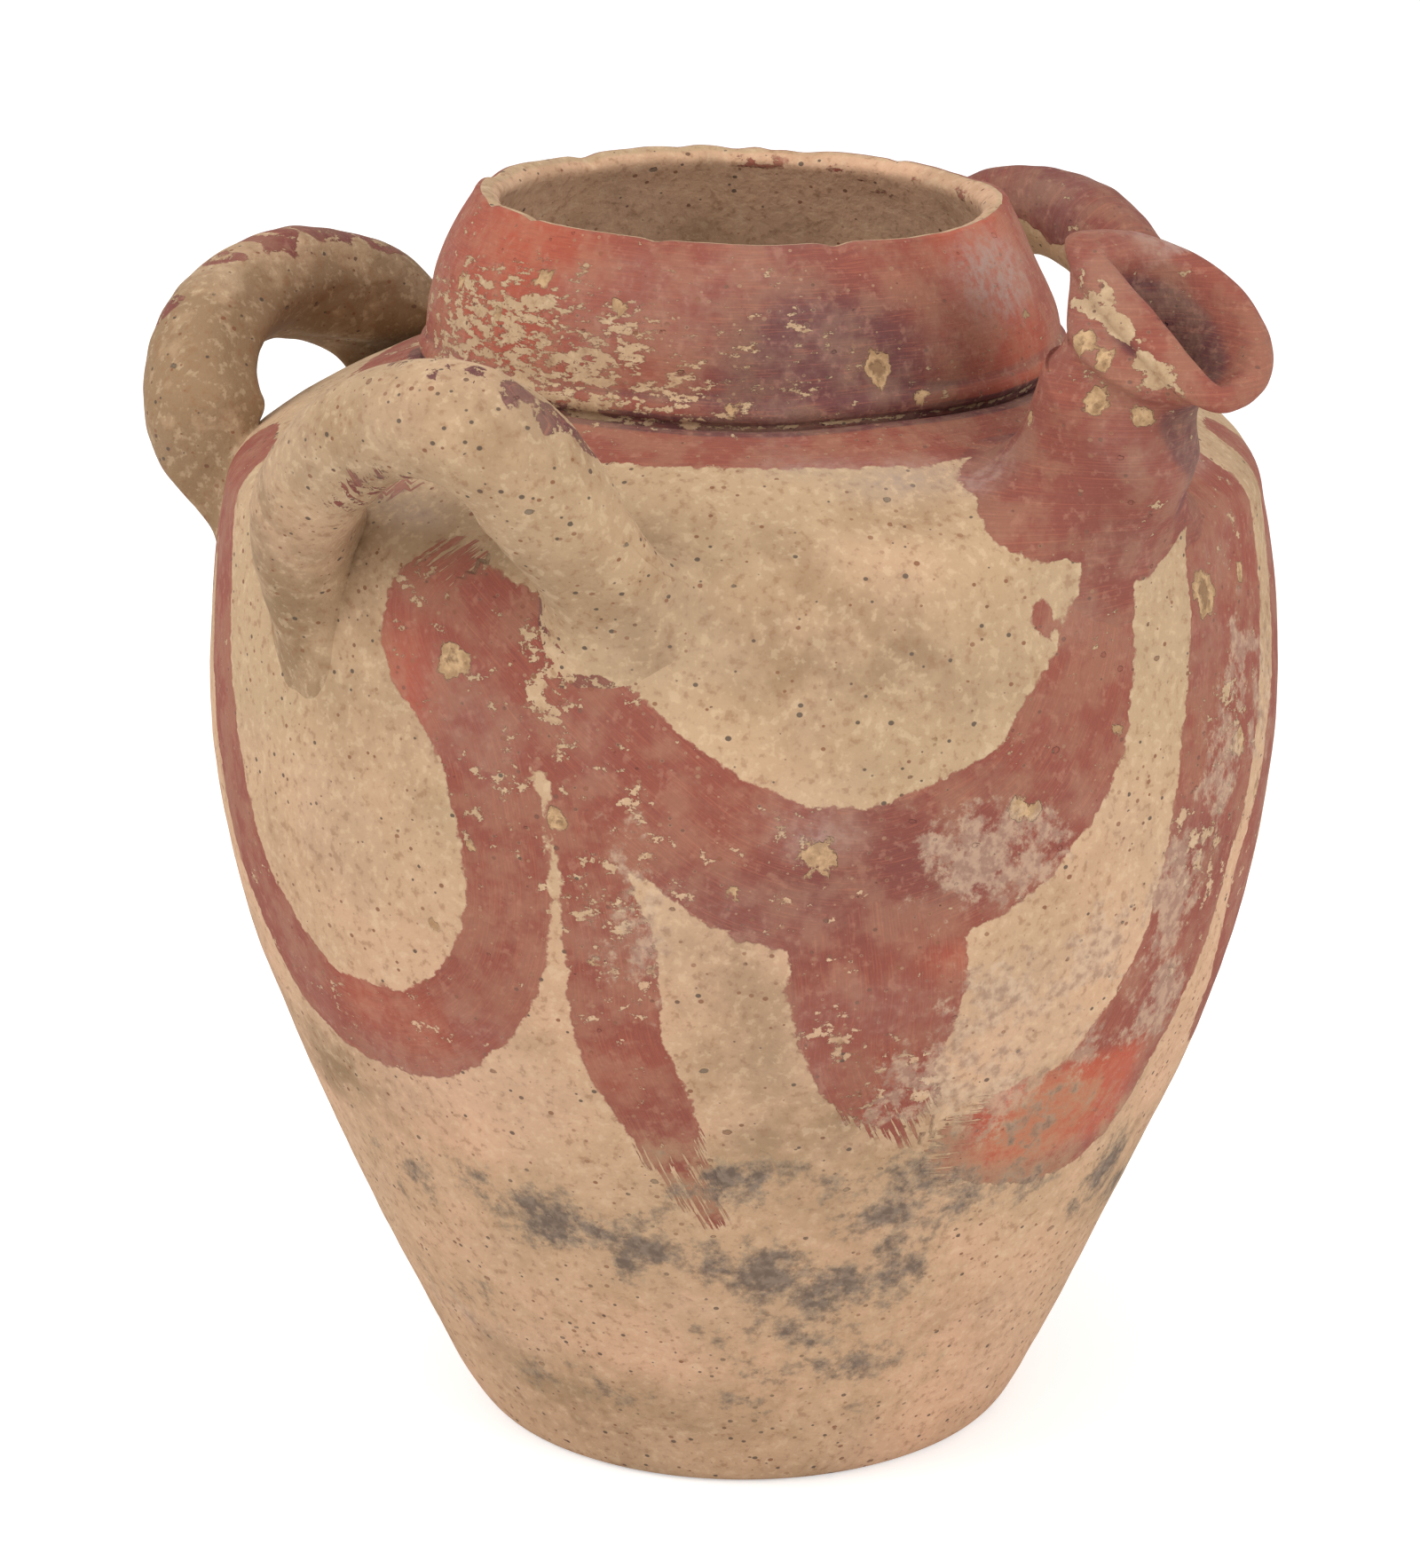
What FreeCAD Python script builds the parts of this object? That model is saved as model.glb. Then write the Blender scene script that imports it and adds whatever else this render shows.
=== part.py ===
import FreeCAD, Part
import math
import os

import Sketcher

# Spouted storage jar, hand built in clay: a disc base, three stages of coiled wall, a sloping
# shoulder, a short collar, a pouring spout and three upswung loop handles.
# Millimetres and degrees. Z is up, X is the pouring direction, and the origin is the centre of
# the base where the jar stands.

# Driving sizes

sizes = {
    # Base and wall: the outside radius where the stages join, the rise of each stage, and how
    # far its curve stands out from a straight line
    "foot_radius": 54.0,
    "foot_round": 2.0,
    "base_thickness": 8.0,
    "base_top_radius": 58.0,
    "lower_rise": 87.0,
    "lower_bulge": 1.3,
    "seam_radius": 94.3,
    "belly_rise": 47.0,
    "belly_bulge": 1.5,
    "belly_radius": 101.7,
    "upper_rise": 42.0,
    "upper_bulge": 1.2,
    "wall": 5.5,
    # Shoulder, from its rounded edge to the foot of the collar
    "edge_radius": 98.3,
    "edge_rise": 10.3,
    "edge_bulge": 1.2,
    "shoulder_radius": 92.5,
    "shoulder_rise": 15.2,
    "shoulder_bulge": 1.2,
    "shoulder_wall": 6.0,
    "edge_hollow": 3.0,
    # Collar and the roll of clay pressed round its foot
    "collar_radius": 59.5,
    "collar_rise": 30.5,
    "collar_bulge": 2.2,
    "collar_wall": 5.0,
    "rim_radius": 50.0,
    "rim_round": 1.9,
    "bead_offset": 1.0,
    "bead_radius": 2.4,
    # Spout: where its axis leaves the shoulder, how far on it ends, and how steep it is there
    "spout_root_inset": 4.5,
    "spout_root_lift": 2.7,
    "spout_root_slope": 80.0,
    "spout_overhang": 14.0,
    "spout_rise": 35.5,
    "spout_mouth_slope": 57.0,
    "spout_radius": 13.0,
    "spout_wall": 4.2,
    "spout_flare": 9.0,
    "spout_flare_length": 7.5,
    "lip_half_length": 24.5,
    "lip_full_side": 23.0,
    "lip_pinched_side": 9.5,
    # Loop handles: an oval strap, swollen where it is pressed on to the wall
    "strap_width": 20.0,
    "strap_thickness": 18.5,
    "strap_flare": 7.0,
    "flare_length": 15.0,
    "loop_lean": 53.0,
    # One overrun for every cut
    "overrun": 6.0,
}

# Sizes that follow from the driving ones
derived = {
    "seam_height": "=base_thickness + lower_rise",
    "belly_height": "=seam_height + belly_rise",
    "edge_height": "=belly_height + upper_rise",
    "shoulder_height": "=edge_height + edge_rise",
    "collar_height": "=shoulder_height + shoulder_rise",
    "rim_height": "=collar_height + collar_rise",
    "base_inner_radius": "=base_top_radius - wall",
    "seam_inner_radius": "=seam_radius - wall",
    "belly_inner_radius": "=belly_radius - wall",
    "edge_inner_radius": "=edge_radius - wall",
    "seat_radius": "=collar_radius + bead_offset",
    "throat_radius": "=collar_radius - collar_wall",
    "throat_height": "=collar_height - shoulder_wall",
    "hollow_radius": "=shoulder_radius - edge_hollow",
    "hollow_height": "=shoulder_height - shoulder_wall",
    "rim_inner_radius": "=rim_radius - collar_wall",
    "spout_root_reach": "=shoulder_radius - spout_root_inset",
    "spout_root_height": "=shoulder_height + spout_root_lift",
    "spout_mouth_reach": "=spout_root_reach + spout_overhang",
    "spout_mouth_height": "=spout_root_height + spout_rise",
}

# The radius of each curve, from the two outside radii that it joins, its rise and its bulge
stages = {
    "lower": ("base_top_radius", "seam_radius"),
    "belly": ("seam_radius", "belly_radius"),
    "upper": ("belly_radius", "edge_radius"),
    "edge": ("edge_radius", "shoulder_radius"),
    "shoulder": ("shoulder_radius", "seat_radius"),
    "collar": ("collar_radius", "rim_radius"),
}
for stage, (start, end) in stages.items():
    chord_square = "(%s - %s)^2 + %s_rise^2" % (start, end, stage)
    derived[stage + "_curve"] = "=(%s) / (8 * %s_bulge) + %s_bulge / 2" % (chord_square, stage, stage)

# Each loop handle springs from two roots. A root has a bearing round the jar, a lift above the
# rounded edge of the shoulder, the length of its rise before the loop bends over, and the angle
# by which it splays outward.
handles = {
    "handle_right": {
        "rear": {"bearing": -96.0, "lift": -9.0, "rise": 31.0, "splay": -3.0},
        "front": {"bearing": -61.5, "lift": 5.0, "rise": 86.0, "splay": 13.5},
    },
    "handle_left": {
        "front": {"bearing": 81.4, "lift": 6.3, "rise": 42.0, "splay": -2.0},
        "rear": {"bearing": 117.8, "lift": 4.3, "rise": 57.0, "splay": 9.4},
    },
    "handle_rear": {
        "left": {"bearing": 180.5, "lift": 10.5, "rise": 45.5, "splay": 1.2},
        "right": {"bearing": 226.0, "lift": -2.5, "rise": 42.0, "splay": 9.4},
    },
}
root_measures = ("bearing", "lift", "rise", "splay")

# Shares along the spout's axis where its three pieces meet, and along a loop where the strap
# ends and its two roots begin
spout_root_share = 0.36
spout_neck_share = 0.70
loop_root_share = 0.13

# Power with which the lip opens past the neck
lip_opening_power = 1.5

# How near to its level an edge lies to be rounded, as a share of the rounding
level_share = 0.01

root_section_count = 4
neck_section_count = 3
lip_section_count = 5
strap_section_count = 9
oval_point_count = 16

doc = FreeCAD.newDocument("spouted_jar")
sheet = doc.addObject("Spreadsheet::Sheet", "dims")


def fill_sheet():
    """Writes every size into the sheet, one row each, under its own alias."""
    rows = {name: str(value) for name, value in sizes.items()}
    for handle, roots in handles.items():
        for root, measures in roots.items():
            for measure in root_measures:
                rows[root_alias(handle, root, measure)] = str(measures[measure])
    rows.update(derived)
    for row, (name, text) in enumerate(rows.items(), start=1):
        sheet.set("A%d" % row, name)
        sheet.set("B%d" % row, text)
        sheet.setAlias("B%d" % row, name)
    doc.recompute()


def root_alias(handle, root, measure):
    return "_".join((handle, root, measure))


def size(name):
    return float(sheet.get(name))


def bind(item, field, name):
    item.setExpression(field, "dims." + name)


# Turned pieces: closed outlines in the XZ plane, revolved about Z

def origin_plane(body, role):
    return next(plane for plane in body.Origin.OriginFeatures if plane.Role == role)


def arc_between(start, end, radius):
    """The anticlockwise arc of a given radius from one point to the next."""
    chord = end - start
    middle = (start + end) * 0.5
    left = FreeCAD.Vector(-chord.y, chord.x, 0).normalize()
    centre = middle + left * math.sqrt(radius ** 2 - (chord.Length / 2) ** 2)
    first = math.atan2(start.y - centre.y, start.x - centre.x)
    last = math.atan2(end.y - centre.y, end.x - centre.x)
    circle = Part.Circle(centre, FreeCAD.Vector(0, 0, 1), radius)
    return Part.ArcOfCircle(circle, first, last)


def pin_corner(sketch, side, point, corner):
    """Holds one corner at its named radius and height, or on the axis it lies on."""
    radius, height = corner
    for name, kind, axis in ((radius, "DistanceX", -2), (height, "DistanceY", -1)):
        if name is None:
            sketch.addConstraint(Sketcher.Constraint("PointOnObject", side, point, axis))
        else:
            held = Sketcher.Constraint(kind, -1, 1, side, point, size(name))
            bind(sketch, "Constraints[%d]" % sketch.addConstraint(held), name)


def draw_outline(body, name, outline):
    """outline: (radius, height, side) for each corner, anticlockwise. The side that leaves the
    corner is None for a line, or (curve, turn) for an arc, turn 1 being anticlockwise."""
    sketch = body.newObject("Sketcher::SketchObject", name)
    sketch.AttachmentSupport = (origin_plane(body, "XZ_Plane"), [""])
    sketch.MapMode = "FlatFace"
    places = []
    for radius, height, side in outline:
        across = size(radius) if radius else 0
        along = size(height) if height else 0
        places.append(FreeCAD.Vector(across, along, 0))
    ends = []
    for index, (radius, height, side) in enumerate(outline):
        start = places[index]
        end = places[(index + 1) % len(places)]
        if side is None:
            sketch.addGeometry(Part.LineSegment(start, end))
            ends.append((1, 2))
        elif side[1] > 0:
            sketch.addGeometry(arc_between(start, end, size(side[0])))
            ends.append((1, 2))
        else:
            sketch.addGeometry(arc_between(end, start, size(side[0])))
            ends.append((2, 1))
    for index, (radius, height, side) in enumerate(outline):
        following = (index + 1) % len(outline)
        joint = Sketcher.Constraint("Coincident", index, ends[index][1], following, ends[following][0])
        sketch.addConstraint(joint)
    for index, (radius, height, side) in enumerate(outline):
        pin_corner(sketch, index, ends[index][0], (radius, height))
        if side is not None:
            bend = Sketcher.Constraint("Radius", index, size(side[0]))
            bind(sketch, "Constraints[%d]" % sketch.addConstraint(bend), side[0])
    return sketch


def turned(label, outline):
    body = doc.addObject("PartDesign::Body", label)
    body.Label = label
    sketch = draw_outline(body, label + "_outline", outline)
    turn = body.newObject("PartDesign::Revolution", label + "_turn")
    turn.Profile = sketch
    turn.ReferenceAxis = (sketch, ["V_Axis"])
    turn.Angle = 360
    doc.recompute()
    return body


def round_edges(body, height, radius):
    """Rounds the circular edges of a turned body that lie at one named height."""
    base = body.Tip
    level = size(height) if height else 0
    names = []
    for index, edge in enumerate(base.Shape.Edges, start=1):
        if abs(edge.BoundBox.ZMin - level) + abs(edge.BoundBox.ZMax - level) < size(radius) * level_share:
            names.append("Edge%d" % index)
    rounding = body.newObject("PartDesign::Fillet", body.Name + "_round")
    rounding.Base = (base, names)
    bind(rounding, "Radius", radius)
    doc.recompute()


def make_jar_wall():
    """The base disc, the three stages of the wall, the shoulder and the collar."""
    base = turned("base_disc", [
        (None, None, None),
        ("foot_radius", None, None),
        ("base_top_radius", "base_thickness", None),
        (None, "base_thickness", None),
    ])
    round_edges(base, None, "foot_round")
    lower = turned("lower_wall", [
        ("base_top_radius", "base_thickness", ("lower_curve", 1)),
        ("seam_radius", "seam_height", None),
        ("seam_inner_radius", "seam_height", ("lower_curve", -1)),
        ("base_inner_radius", "base_thickness", None),
    ])
    belly = turned("belly_wall", [
        ("seam_radius", "seam_height", ("belly_curve", 1)),
        ("belly_radius", "belly_height", None),
        ("belly_inner_radius", "belly_height", ("belly_curve", -1)),
        ("seam_inner_radius", "seam_height", None),
    ])
    upper = turned("upper_wall", [
        ("belly_radius", "belly_height", ("upper_curve", 1)),
        ("edge_radius", "edge_height", None),
        ("edge_inner_radius", "edge_height", ("upper_curve", -1)),
        ("belly_inner_radius", "belly_height", None),
    ])
    shoulder = turned("shoulder_turned", [
        ("edge_radius", "edge_height", ("edge_curve", 1)),
        ("shoulder_radius", "shoulder_height", ("shoulder_curve", 1)),
        ("seat_radius", "collar_height", None),
        ("throat_radius", "collar_height", None),
        ("throat_radius", "throat_height", ("shoulder_curve", -1)),
        ("hollow_radius", "hollow_height", None),
        ("edge_inner_radius", "edge_height", None),
    ])
    collar = turned("collar", [
        ("collar_radius", "collar_height", ("collar_curve", 1)),
        ("rim_radius", "rim_height", None),
        ("rim_inner_radius", "rim_height", ("collar_curve", -1)),
        ("throat_radius", "collar_height", None),
    ])
    round_edges(collar, "rim_height", "rim_round")
    return [base, lower, belly, upper, shoulder, collar]


def make_outer_form():
    """The jar's outer surface as one filled form, which trims whatever is pressed on to it."""
    return turned("outer_form", [
        (None, None, None),
        ("foot_radius", None, None),
        ("base_top_radius", "base_thickness", ("lower_curve", 1)),
        ("seam_radius", "seam_height", ("belly_curve", 1)),
        ("belly_radius", "belly_height", ("upper_curve", 1)),
        ("edge_radius", "edge_height", ("edge_curve", 1)),
        ("shoulder_radius", "shoulder_height", ("shoulder_curve", 1)),
        ("seat_radius", "collar_height", None),
        ("collar_radius", "collar_height", ("collar_curve", 1)),
        ("rim_radius", "rim_height", None),
        (None, "rim_height", None),
    ])


def cut(label, base, tool):
    """One piece less another, as a boolean that keeps both."""
    result = doc.addObject("Part::Cut", label)
    result.Label = label
    result.Base = base
    result.Tool = tool
    doc.recompute()
    return result


def make_bead(outer_form):
    """The roll of clay pressed into the corner between the collar and the shoulder."""
    roll = doc.addObject("Part::Torus", "bead_roll")
    bind(roll, "Radius1", "seat_radius")
    bind(roll, "Radius2", "bead_radius")
    bind(roll, "Placement.Base.z", "collar_height")
    return cut("collar_foot_bead", roll, outer_form)


# Pieces along a curved axis: lofts through oval sections

def oval(centre, first_axis, second_axis, first_half, second_half, second_half_back):
    """A closed smooth oval, with its own half width on either side of the first axis."""
    points = []
    for step in range(oval_point_count):
        angle = 2 * math.pi * step / oval_point_count
        across = math.sin(angle)
        half = second_half if across > 0 else second_half_back
        points.append(centre + first_axis * (first_half * math.cos(angle)) + second_axis * (half * across))
    curve = Part.BSplineCurve()
    curve.interpolate(Points=points, PeriodicFlag=True)
    return Part.Wire([curve.toShape()])


def loft(label, wires):
    piece = doc.addObject("Part::Feature", label)
    piece.Label = label
    piece.Shape = Part.makeLoft(wires, True, False)
    return piece


def spread(first, last, count):
    return [first + (last - first) * step / (count - 1) for step in range(count)]


def slope_vector(slope):
    angle = math.radians(slope)
    return FreeCAD.Vector(math.cos(angle), 0, math.sin(angle))


def spout_axis():
    """The spout's axis: a curve in the XZ plane that leaves steeply and leans outward."""
    root = FreeCAD.Vector(size("spout_root_reach"), 0, size("spout_root_height"))
    mouth = FreeCAD.Vector(size("spout_mouth_reach"), 0, size("spout_mouth_height"))
    third = (mouth - root).Length / 3
    axis = Part.BezierCurve()
    axis.setPoles([
        root,
        root + slope_vector(size("spout_root_slope")) * third,
        mouth - slope_vector(size("spout_mouth_slope")) * third,
        mouth,
    ])
    return axis


def spout_oval(axis, share, inset, beyond=0):
    """The spout's section at a share of its axis: round, flared at the root towards the collar
    and to both sides, and drawn out to a long lip with one pinched side. inset is the wall that
    an inner section leaves."""
    along = axis.tangent(share)[0]
    centre = axis.value(share) + along * beyond
    side = FreeCAD.Vector(0, 1, 0)
    outward = side.cross(along)
    lip = max(0, (share - spout_neck_share) / (1 - spout_neck_share)) ** lip_opening_power
    past_root = share * axis.length() / size("spout_flare_length")
    flare = 0 if inset else size("spout_flare") * math.exp(-past_root)
    halves = []
    for name, swell in (
        ("lip_half_length", flare / 2),
        ("lip_full_side", flare),
        ("lip_pinched_side", flare),
    ):
        halves.append(size("spout_radius") + swell + (size(name) - size("spout_radius")) * lip - inset)
    return oval(centre - outward * (flare / 2), outward, side, *halves)


def make_spout(outer_form, bead, shoulder):
    """The spout in three pieces, its bore through them and the hole through the shoulder."""
    axis = spout_axis()
    wall = size("spout_wall")
    sink = size("spout_radius")
    shares = {
        "spout_root": spread(0, spout_root_share, root_section_count),
        "spout_neck": spread(spout_root_share, spout_neck_share, neck_section_count),
        "spout_lip": spread(spout_neck_share, 1, lip_section_count),
    }
    full = {}
    bores = {}
    for label, places in shares.items():
        outer = [spout_oval(axis, share, 0) for share in places]
        inner = [spout_oval(axis, share, wall) for share in places]
        if label == "spout_root":
            outer.insert(0, spout_oval(axis, 0, 0, -sink))
            inner.insert(0, spout_oval(axis, 0, wall, -sink - size("overrun")))
        if label == "spout_lip":
            inner.append(spout_oval(axis, 1, wall, size("overrun")))
        full[label] = loft(label + "_full", outer)
        bores[label] = loft(label + "_bore", inner)
    trimmed = cut("spout_root_on_wall", full["spout_root"], outer_form)
    seated = cut("spout_root_seated", trimmed, bead)
    return [
        cut("shoulder_ring", shoulder, bores["spout_root"]),
        cut("spout_root", seated, bores["spout_root"]),
        cut("spout_neck", full["spout_neck"], bores["spout_neck"]),
        cut("spout_lip", full["spout_lip"], bores["spout_lip"]),
    ]


def wall_reach(outer_form, height):
    """How far the jar's outer surface stands from the axis at a height."""
    far = FreeCAD.Vector(size("edge_radius") * 2, 0, height)
    ray = Part.makeLine(FreeCAD.Vector(0, 0, height), far)
    return ray.common(outer_form.Shape).Length


def handle_loop(handle, outer_form):
    """A handle's centre line, and the direction across its strap."""
    ends = []
    bearings = []
    for root in handles[handle]:
        bearing = math.radians(size(root_alias(handle, root, "bearing")))
        height = size("edge_height") + size(root_alias(handle, root, "lift"))
        reach = wall_reach(outer_form, height) - size("wall") / 2
        ends.append(FreeCAD.Vector(reach * math.cos(bearing), reach * math.sin(bearing), height))
        bearings.append(bearing)
    middle = sum(bearings) / 2
    lean = math.radians(size("loop_lean"))
    chord = (ends[1] - ends[0]).normalize()
    level = FreeCAD.Vector(math.cos(middle), math.sin(middle), 0)
    rising = level * math.cos(lean) + FreeCAD.Vector(0, 0, math.sin(lean))
    across = chord.cross(rising).normalize()
    rising = across.cross(chord)
    inner = []
    for end, root, way in zip(ends, handles[handle], (-1, 1)):
        splay = math.radians(size(root_alias(handle, root, "splay")))
        aim = rising * math.cos(splay) + chord * (way * math.sin(splay))
        inner.append(end + aim * size(root_alias(handle, root, "rise")))
    loop = Part.BezierCurve()
    loop.setPoles([ends[0], inner[0], inner[1], ends[1]])
    return loop, across


def strap_oval(loop, across, share, beyond=0):
    """The strap's section at a share of its loop, swollen towards both roots."""
    along = loop.tangent(share)[0]
    centre = loop.value(share) + along * beyond
    nearest = min(share, 1 - share) * loop.length() / size("flare_length")
    swell = size("strap_flare") * math.exp(-nearest) / 2
    half_width = size("strap_width") / 2 + swell
    half_thickness = size("strap_thickness") / 2 + swell
    return oval(centre, across, along.cross(across), half_width, half_thickness, half_thickness)


def make_handle(handle, outer_form):
    """One loop handle: the strap, and a root at either end trimmed to the wall."""
    loop, across = handle_loop(handle, outer_form)
    share = loop_root_share
    sink = size("strap_thickness")
    strap = loft(handle, [strap_oval(loop, across, place) for place in spread(share, 1 - share, strap_section_count)])
    pieces = [strap]
    for root, start, way in zip(handles[handle], (0, 1), (-1, 1)):
        wires = [strap_oval(loop, across, start, way * sink)]
        places = spread(start, share if start == 0 else 1 - share, root_section_count)
        wires.extend(strap_oval(loop, across, place) for place in places)
        label = "_".join((handle, "root", root))
        pieces.append(cut(label, loft(label + "_full", wires), outer_form))
    return pieces


def check(items):
    for item in doc.Objects:
        if "Invalid" in item.State or "Error" in item.State:
            raise RuntimeError("failed: " + item.Name)
    for item in items:
        shape = item.Shape
        if shape.isNull() or not shape.isValid() or len(shape.Solids) != 1:
            raise RuntimeError("not one sound solid: " + item.Label)
        print("%-26s %9.1f mm3" % (item.Label, shape.Volume))


fill_sheet()
base, lower, belly, upper, shoulder_turned, collar = make_jar_wall()
outer_form = make_outer_form()
bead_full = make_bead(outer_form)
pieces = [base, lower, belly, upper, collar, bead_full]
pieces.extend(make_spout(outer_form, bead_full, shoulder_turned))
for handle in handles:
    pieces.extend(make_handle(handle, outer_form))
doc.recompute()
check(pieces)

os.makedirs("parts", exist_ok=True)
for piece in pieces:
    piece.Shape.exportStep("parts/" + piece.Label + ".step")
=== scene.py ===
import math

import bpy
import numpy as np
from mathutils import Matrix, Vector, noise

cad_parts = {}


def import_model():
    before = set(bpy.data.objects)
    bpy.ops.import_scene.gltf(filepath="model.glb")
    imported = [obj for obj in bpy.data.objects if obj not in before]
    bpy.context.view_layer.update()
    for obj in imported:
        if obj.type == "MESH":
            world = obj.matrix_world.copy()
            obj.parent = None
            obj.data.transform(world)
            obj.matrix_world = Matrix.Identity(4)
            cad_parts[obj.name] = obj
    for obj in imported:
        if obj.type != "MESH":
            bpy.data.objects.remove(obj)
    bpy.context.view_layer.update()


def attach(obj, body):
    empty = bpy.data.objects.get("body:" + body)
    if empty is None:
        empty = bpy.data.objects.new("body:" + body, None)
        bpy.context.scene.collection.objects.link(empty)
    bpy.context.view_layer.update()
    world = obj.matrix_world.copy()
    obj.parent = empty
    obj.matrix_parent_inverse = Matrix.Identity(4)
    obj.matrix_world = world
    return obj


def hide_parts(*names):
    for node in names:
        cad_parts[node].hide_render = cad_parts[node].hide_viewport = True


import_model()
bpy.ops.object.select_all(action="DESELECT")

# The wall: a disc base, three stages of coiled clay and a sloping shoulder, smoothed together
# wet into one shell. Its sizes are in millimetres, as reach from the jar's axis and level above
# the floor, and it is raised ring by ring, as the coils were.
wall_thickness = 5.5


def bowed(start, end, bulge, steps):
    """Points along a shallow curve, which stands out from a straight line by its bulge."""
    way = np.subtract(end, start)
    out = np.array([way[1], -way[0]]) / np.hypot(*way)
    shares = np.arange(1, steps + 1) / steps
    return [tuple(np.add(start, way * t) + out * bulge * 4 * t * (1 - t)) for t in shares]


base_edge, base_top, seam, belly = (54.0, 0.0), (58.0, 8.0), (94.3, 95.0), (101.7, 142.0)
edge, shoulder, collar_seat = (98.3, 184.0), (92.5, 194.3), (60.6, 210.4)
inner_seam, inner_belly, inner_edge, throat = (88.8, 95.0), (96.2, 142.0), (92.8, 182.5), (54.6, 203.6)
underside = [(2.0, 0.6), (20.0, 0.5), (40.0, 0.3), (50.5, 0.0), (52.8, 0.25)]
foot_line = [(54.0, 1.4), (55.6, 3.8), base_top]
wall_line = (
    bowed(base_top, seam, 1.3, 24)
    + bowed(seam, belly, 1.5, 13)
    + bowed(belly, edge, 1.2, 11)
    + bowed(edge, shoulder, 1.6, 5)
    + bowed(shoulder, (62.0, 208.9), 1.2, 10)
    + [(60.8, 209.0)]
)
above_line = [collar_seat] + bowed(collar_seat, (50.2, 239.4), 1.9, 14)
outer_line = np.array(foot_line + wall_line + above_line)
inner_line = (
    [(59.6, 208.2), (57.0, 208.2), (55.2, 207.8), (54.6, 206.0), throat]
    + bowed(throat, (88.0, 188.6), -1.0, 7)
    + [(91.4, 186.4), inner_edge]
    + bowed(inner_edge, inner_belly, -1.0, 7)
    + bowed(inner_belly, inner_seam, -1.5, 8)
    + bowed(inner_seam, (54.0, 12.0), -1.3, 12)
    + [(51.5, 9.2), (48.0, 8.2), (30.0, 8.0), (12.0, 8.0), (2.0, 8.0)]
)


def raise_coils(name, outline, around):
    """A closed shell of rings, each drawn up from the last to its own reach and level, in mm."""
    reach, level = outline[0]
    start = (0, 0, level / 1000)
    bpy.ops.mesh.primitive_circle_add(vertices=around, radius=reach / 1000, location=start)
    shell = bpy.context.object
    shell.name = name
    bpy.ops.object.transform_apply(location=True, rotation=True, scale=True)
    bpy.ops.object.mode_set(mode="EDIT")
    bpy.ops.mesh.select_all(action="SELECT")
    for next_reach, next_level in outline[1:]:
        rise = (0, 0, (next_level - level) / 1000)
        bpy.ops.mesh.extrude_region_move(TRANSFORM_OT_translate={"value": rise})
        spread = next_reach / reach
        bpy.ops.transform.resize(value=(spread, spread, 1))
        reach, level = next_reach, next_level
    bpy.ops.object.mode_set(mode="OBJECT")
    return shell


def pick(piece):
    """Makes a piece the active one and the only one that is selected."""
    bpy.ops.object.select_all(action="DESELECT")
    piece.select_set(True)
    bpy.context.view_layer.objects.active = piece


def close_up(piece, cap=True):
    """Joins a piece's seams, fills its open ends and turns its faces outward."""
    pick(piece)
    bpy.ops.object.mode_set(mode="EDIT")
    bpy.ops.mesh.select_all(action="SELECT")
    bpy.ops.mesh.remove_doubles(threshold=0.000002)
    if cap:
        bpy.ops.mesh.fill_holes(sides=0)
    bpy.ops.mesh.select_all(action="SELECT")
    bpy.ops.mesh.normals_make_consistent(inside=False)
    bpy.ops.object.mode_set(mode="OBJECT")
    bpy.ops.object.shade_smooth()


def finish_with(piece, kind, **settings):
    """Gives a piece a modifier and applies it."""
    pick(piece)
    modifier = piece.modifiers.new(kind.lower(), kind)
    for key, value in settings.items():
        setattr(modifier, key, value)
    bpy.ops.object.modifier_apply(modifier=modifier.name)


def places(piece):
    """A piece's points, in mm."""
    points = np.empty(len(piece.data.vertices) * 3, dtype=np.float32)
    piece.data.vertices.foreach_get("co", points)
    return points.reshape(-1, 3).astype(float) * 1000


def put_back(piece, points):
    """Moves a piece's points to new places, given in mm."""
    piece.data.vertices.foreach_set("co", (points / 1000).astype(np.float32).ravel())
    piece.data.update()


def eased(value, low, high):
    """0 below low, 1 above high, and a smooth step between."""
    t = np.clip((value - low) / (high - low), 0, 1)
    return t * t * (3 - 2 * t)


# The same unevenness every time: without this, noise_vector takes its offsets from the clock
noise.seed_set(5)


def hand_shaped(points, fine):
    """The slow unevenness of a jar built by hand, and the tilt of its rim, in mm."""
    moved = points.copy()
    grip = eased(points[:, 2], 0, 14)
    for index, point in enumerate(points):
        slow = noise.noise_vector(Vector(point) * 0.017)
        quick = noise.noise_vector(Vector(point) * 0.048 + Vector((7, 3, 1)))
        small = noise.noise_vector(Vector(point) * 0.21 + Vector((2, 9, 4)))
        moved[index] += np.array(slow + quick * 0.5 + small * fine) * grip[index]
    raised_side = math.radians(-133)
    towards_it = points[:, 0] * math.cos(raised_side) + points[:, 1] * math.sin(raised_side)
    on_the_collar = np.hypot(points[:, 0], points[:, 1]) < 70
    moved[:, 2] += 0.02 * towards_it * eased(points[:, 2], 205, 238) * on_the_collar
    return moved


def mottle(points, size, seed):
    """Slow noise from -1 to 1 at some points, with lumps of about the given size in mm."""
    shift = Vector((seed * 3.7, seed * 1.3, -seed * 2.9))

    def at(point):
        place = Vector(point)
        return noise.noise(place / size + shift) + 0.5 * noise.noise(place * 2.3 / size - shift)

    return np.array([at(point) for point in points]) / 0.8


jar_wall = raise_coils("jar_wall", underside + foot_line + wall_line + inner_line, 180)
close_up(jar_wall, cap=False)
finish_with(jar_wall, "SUBSURF", levels=1, render_levels=1)
close_up(jar_wall)

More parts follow.
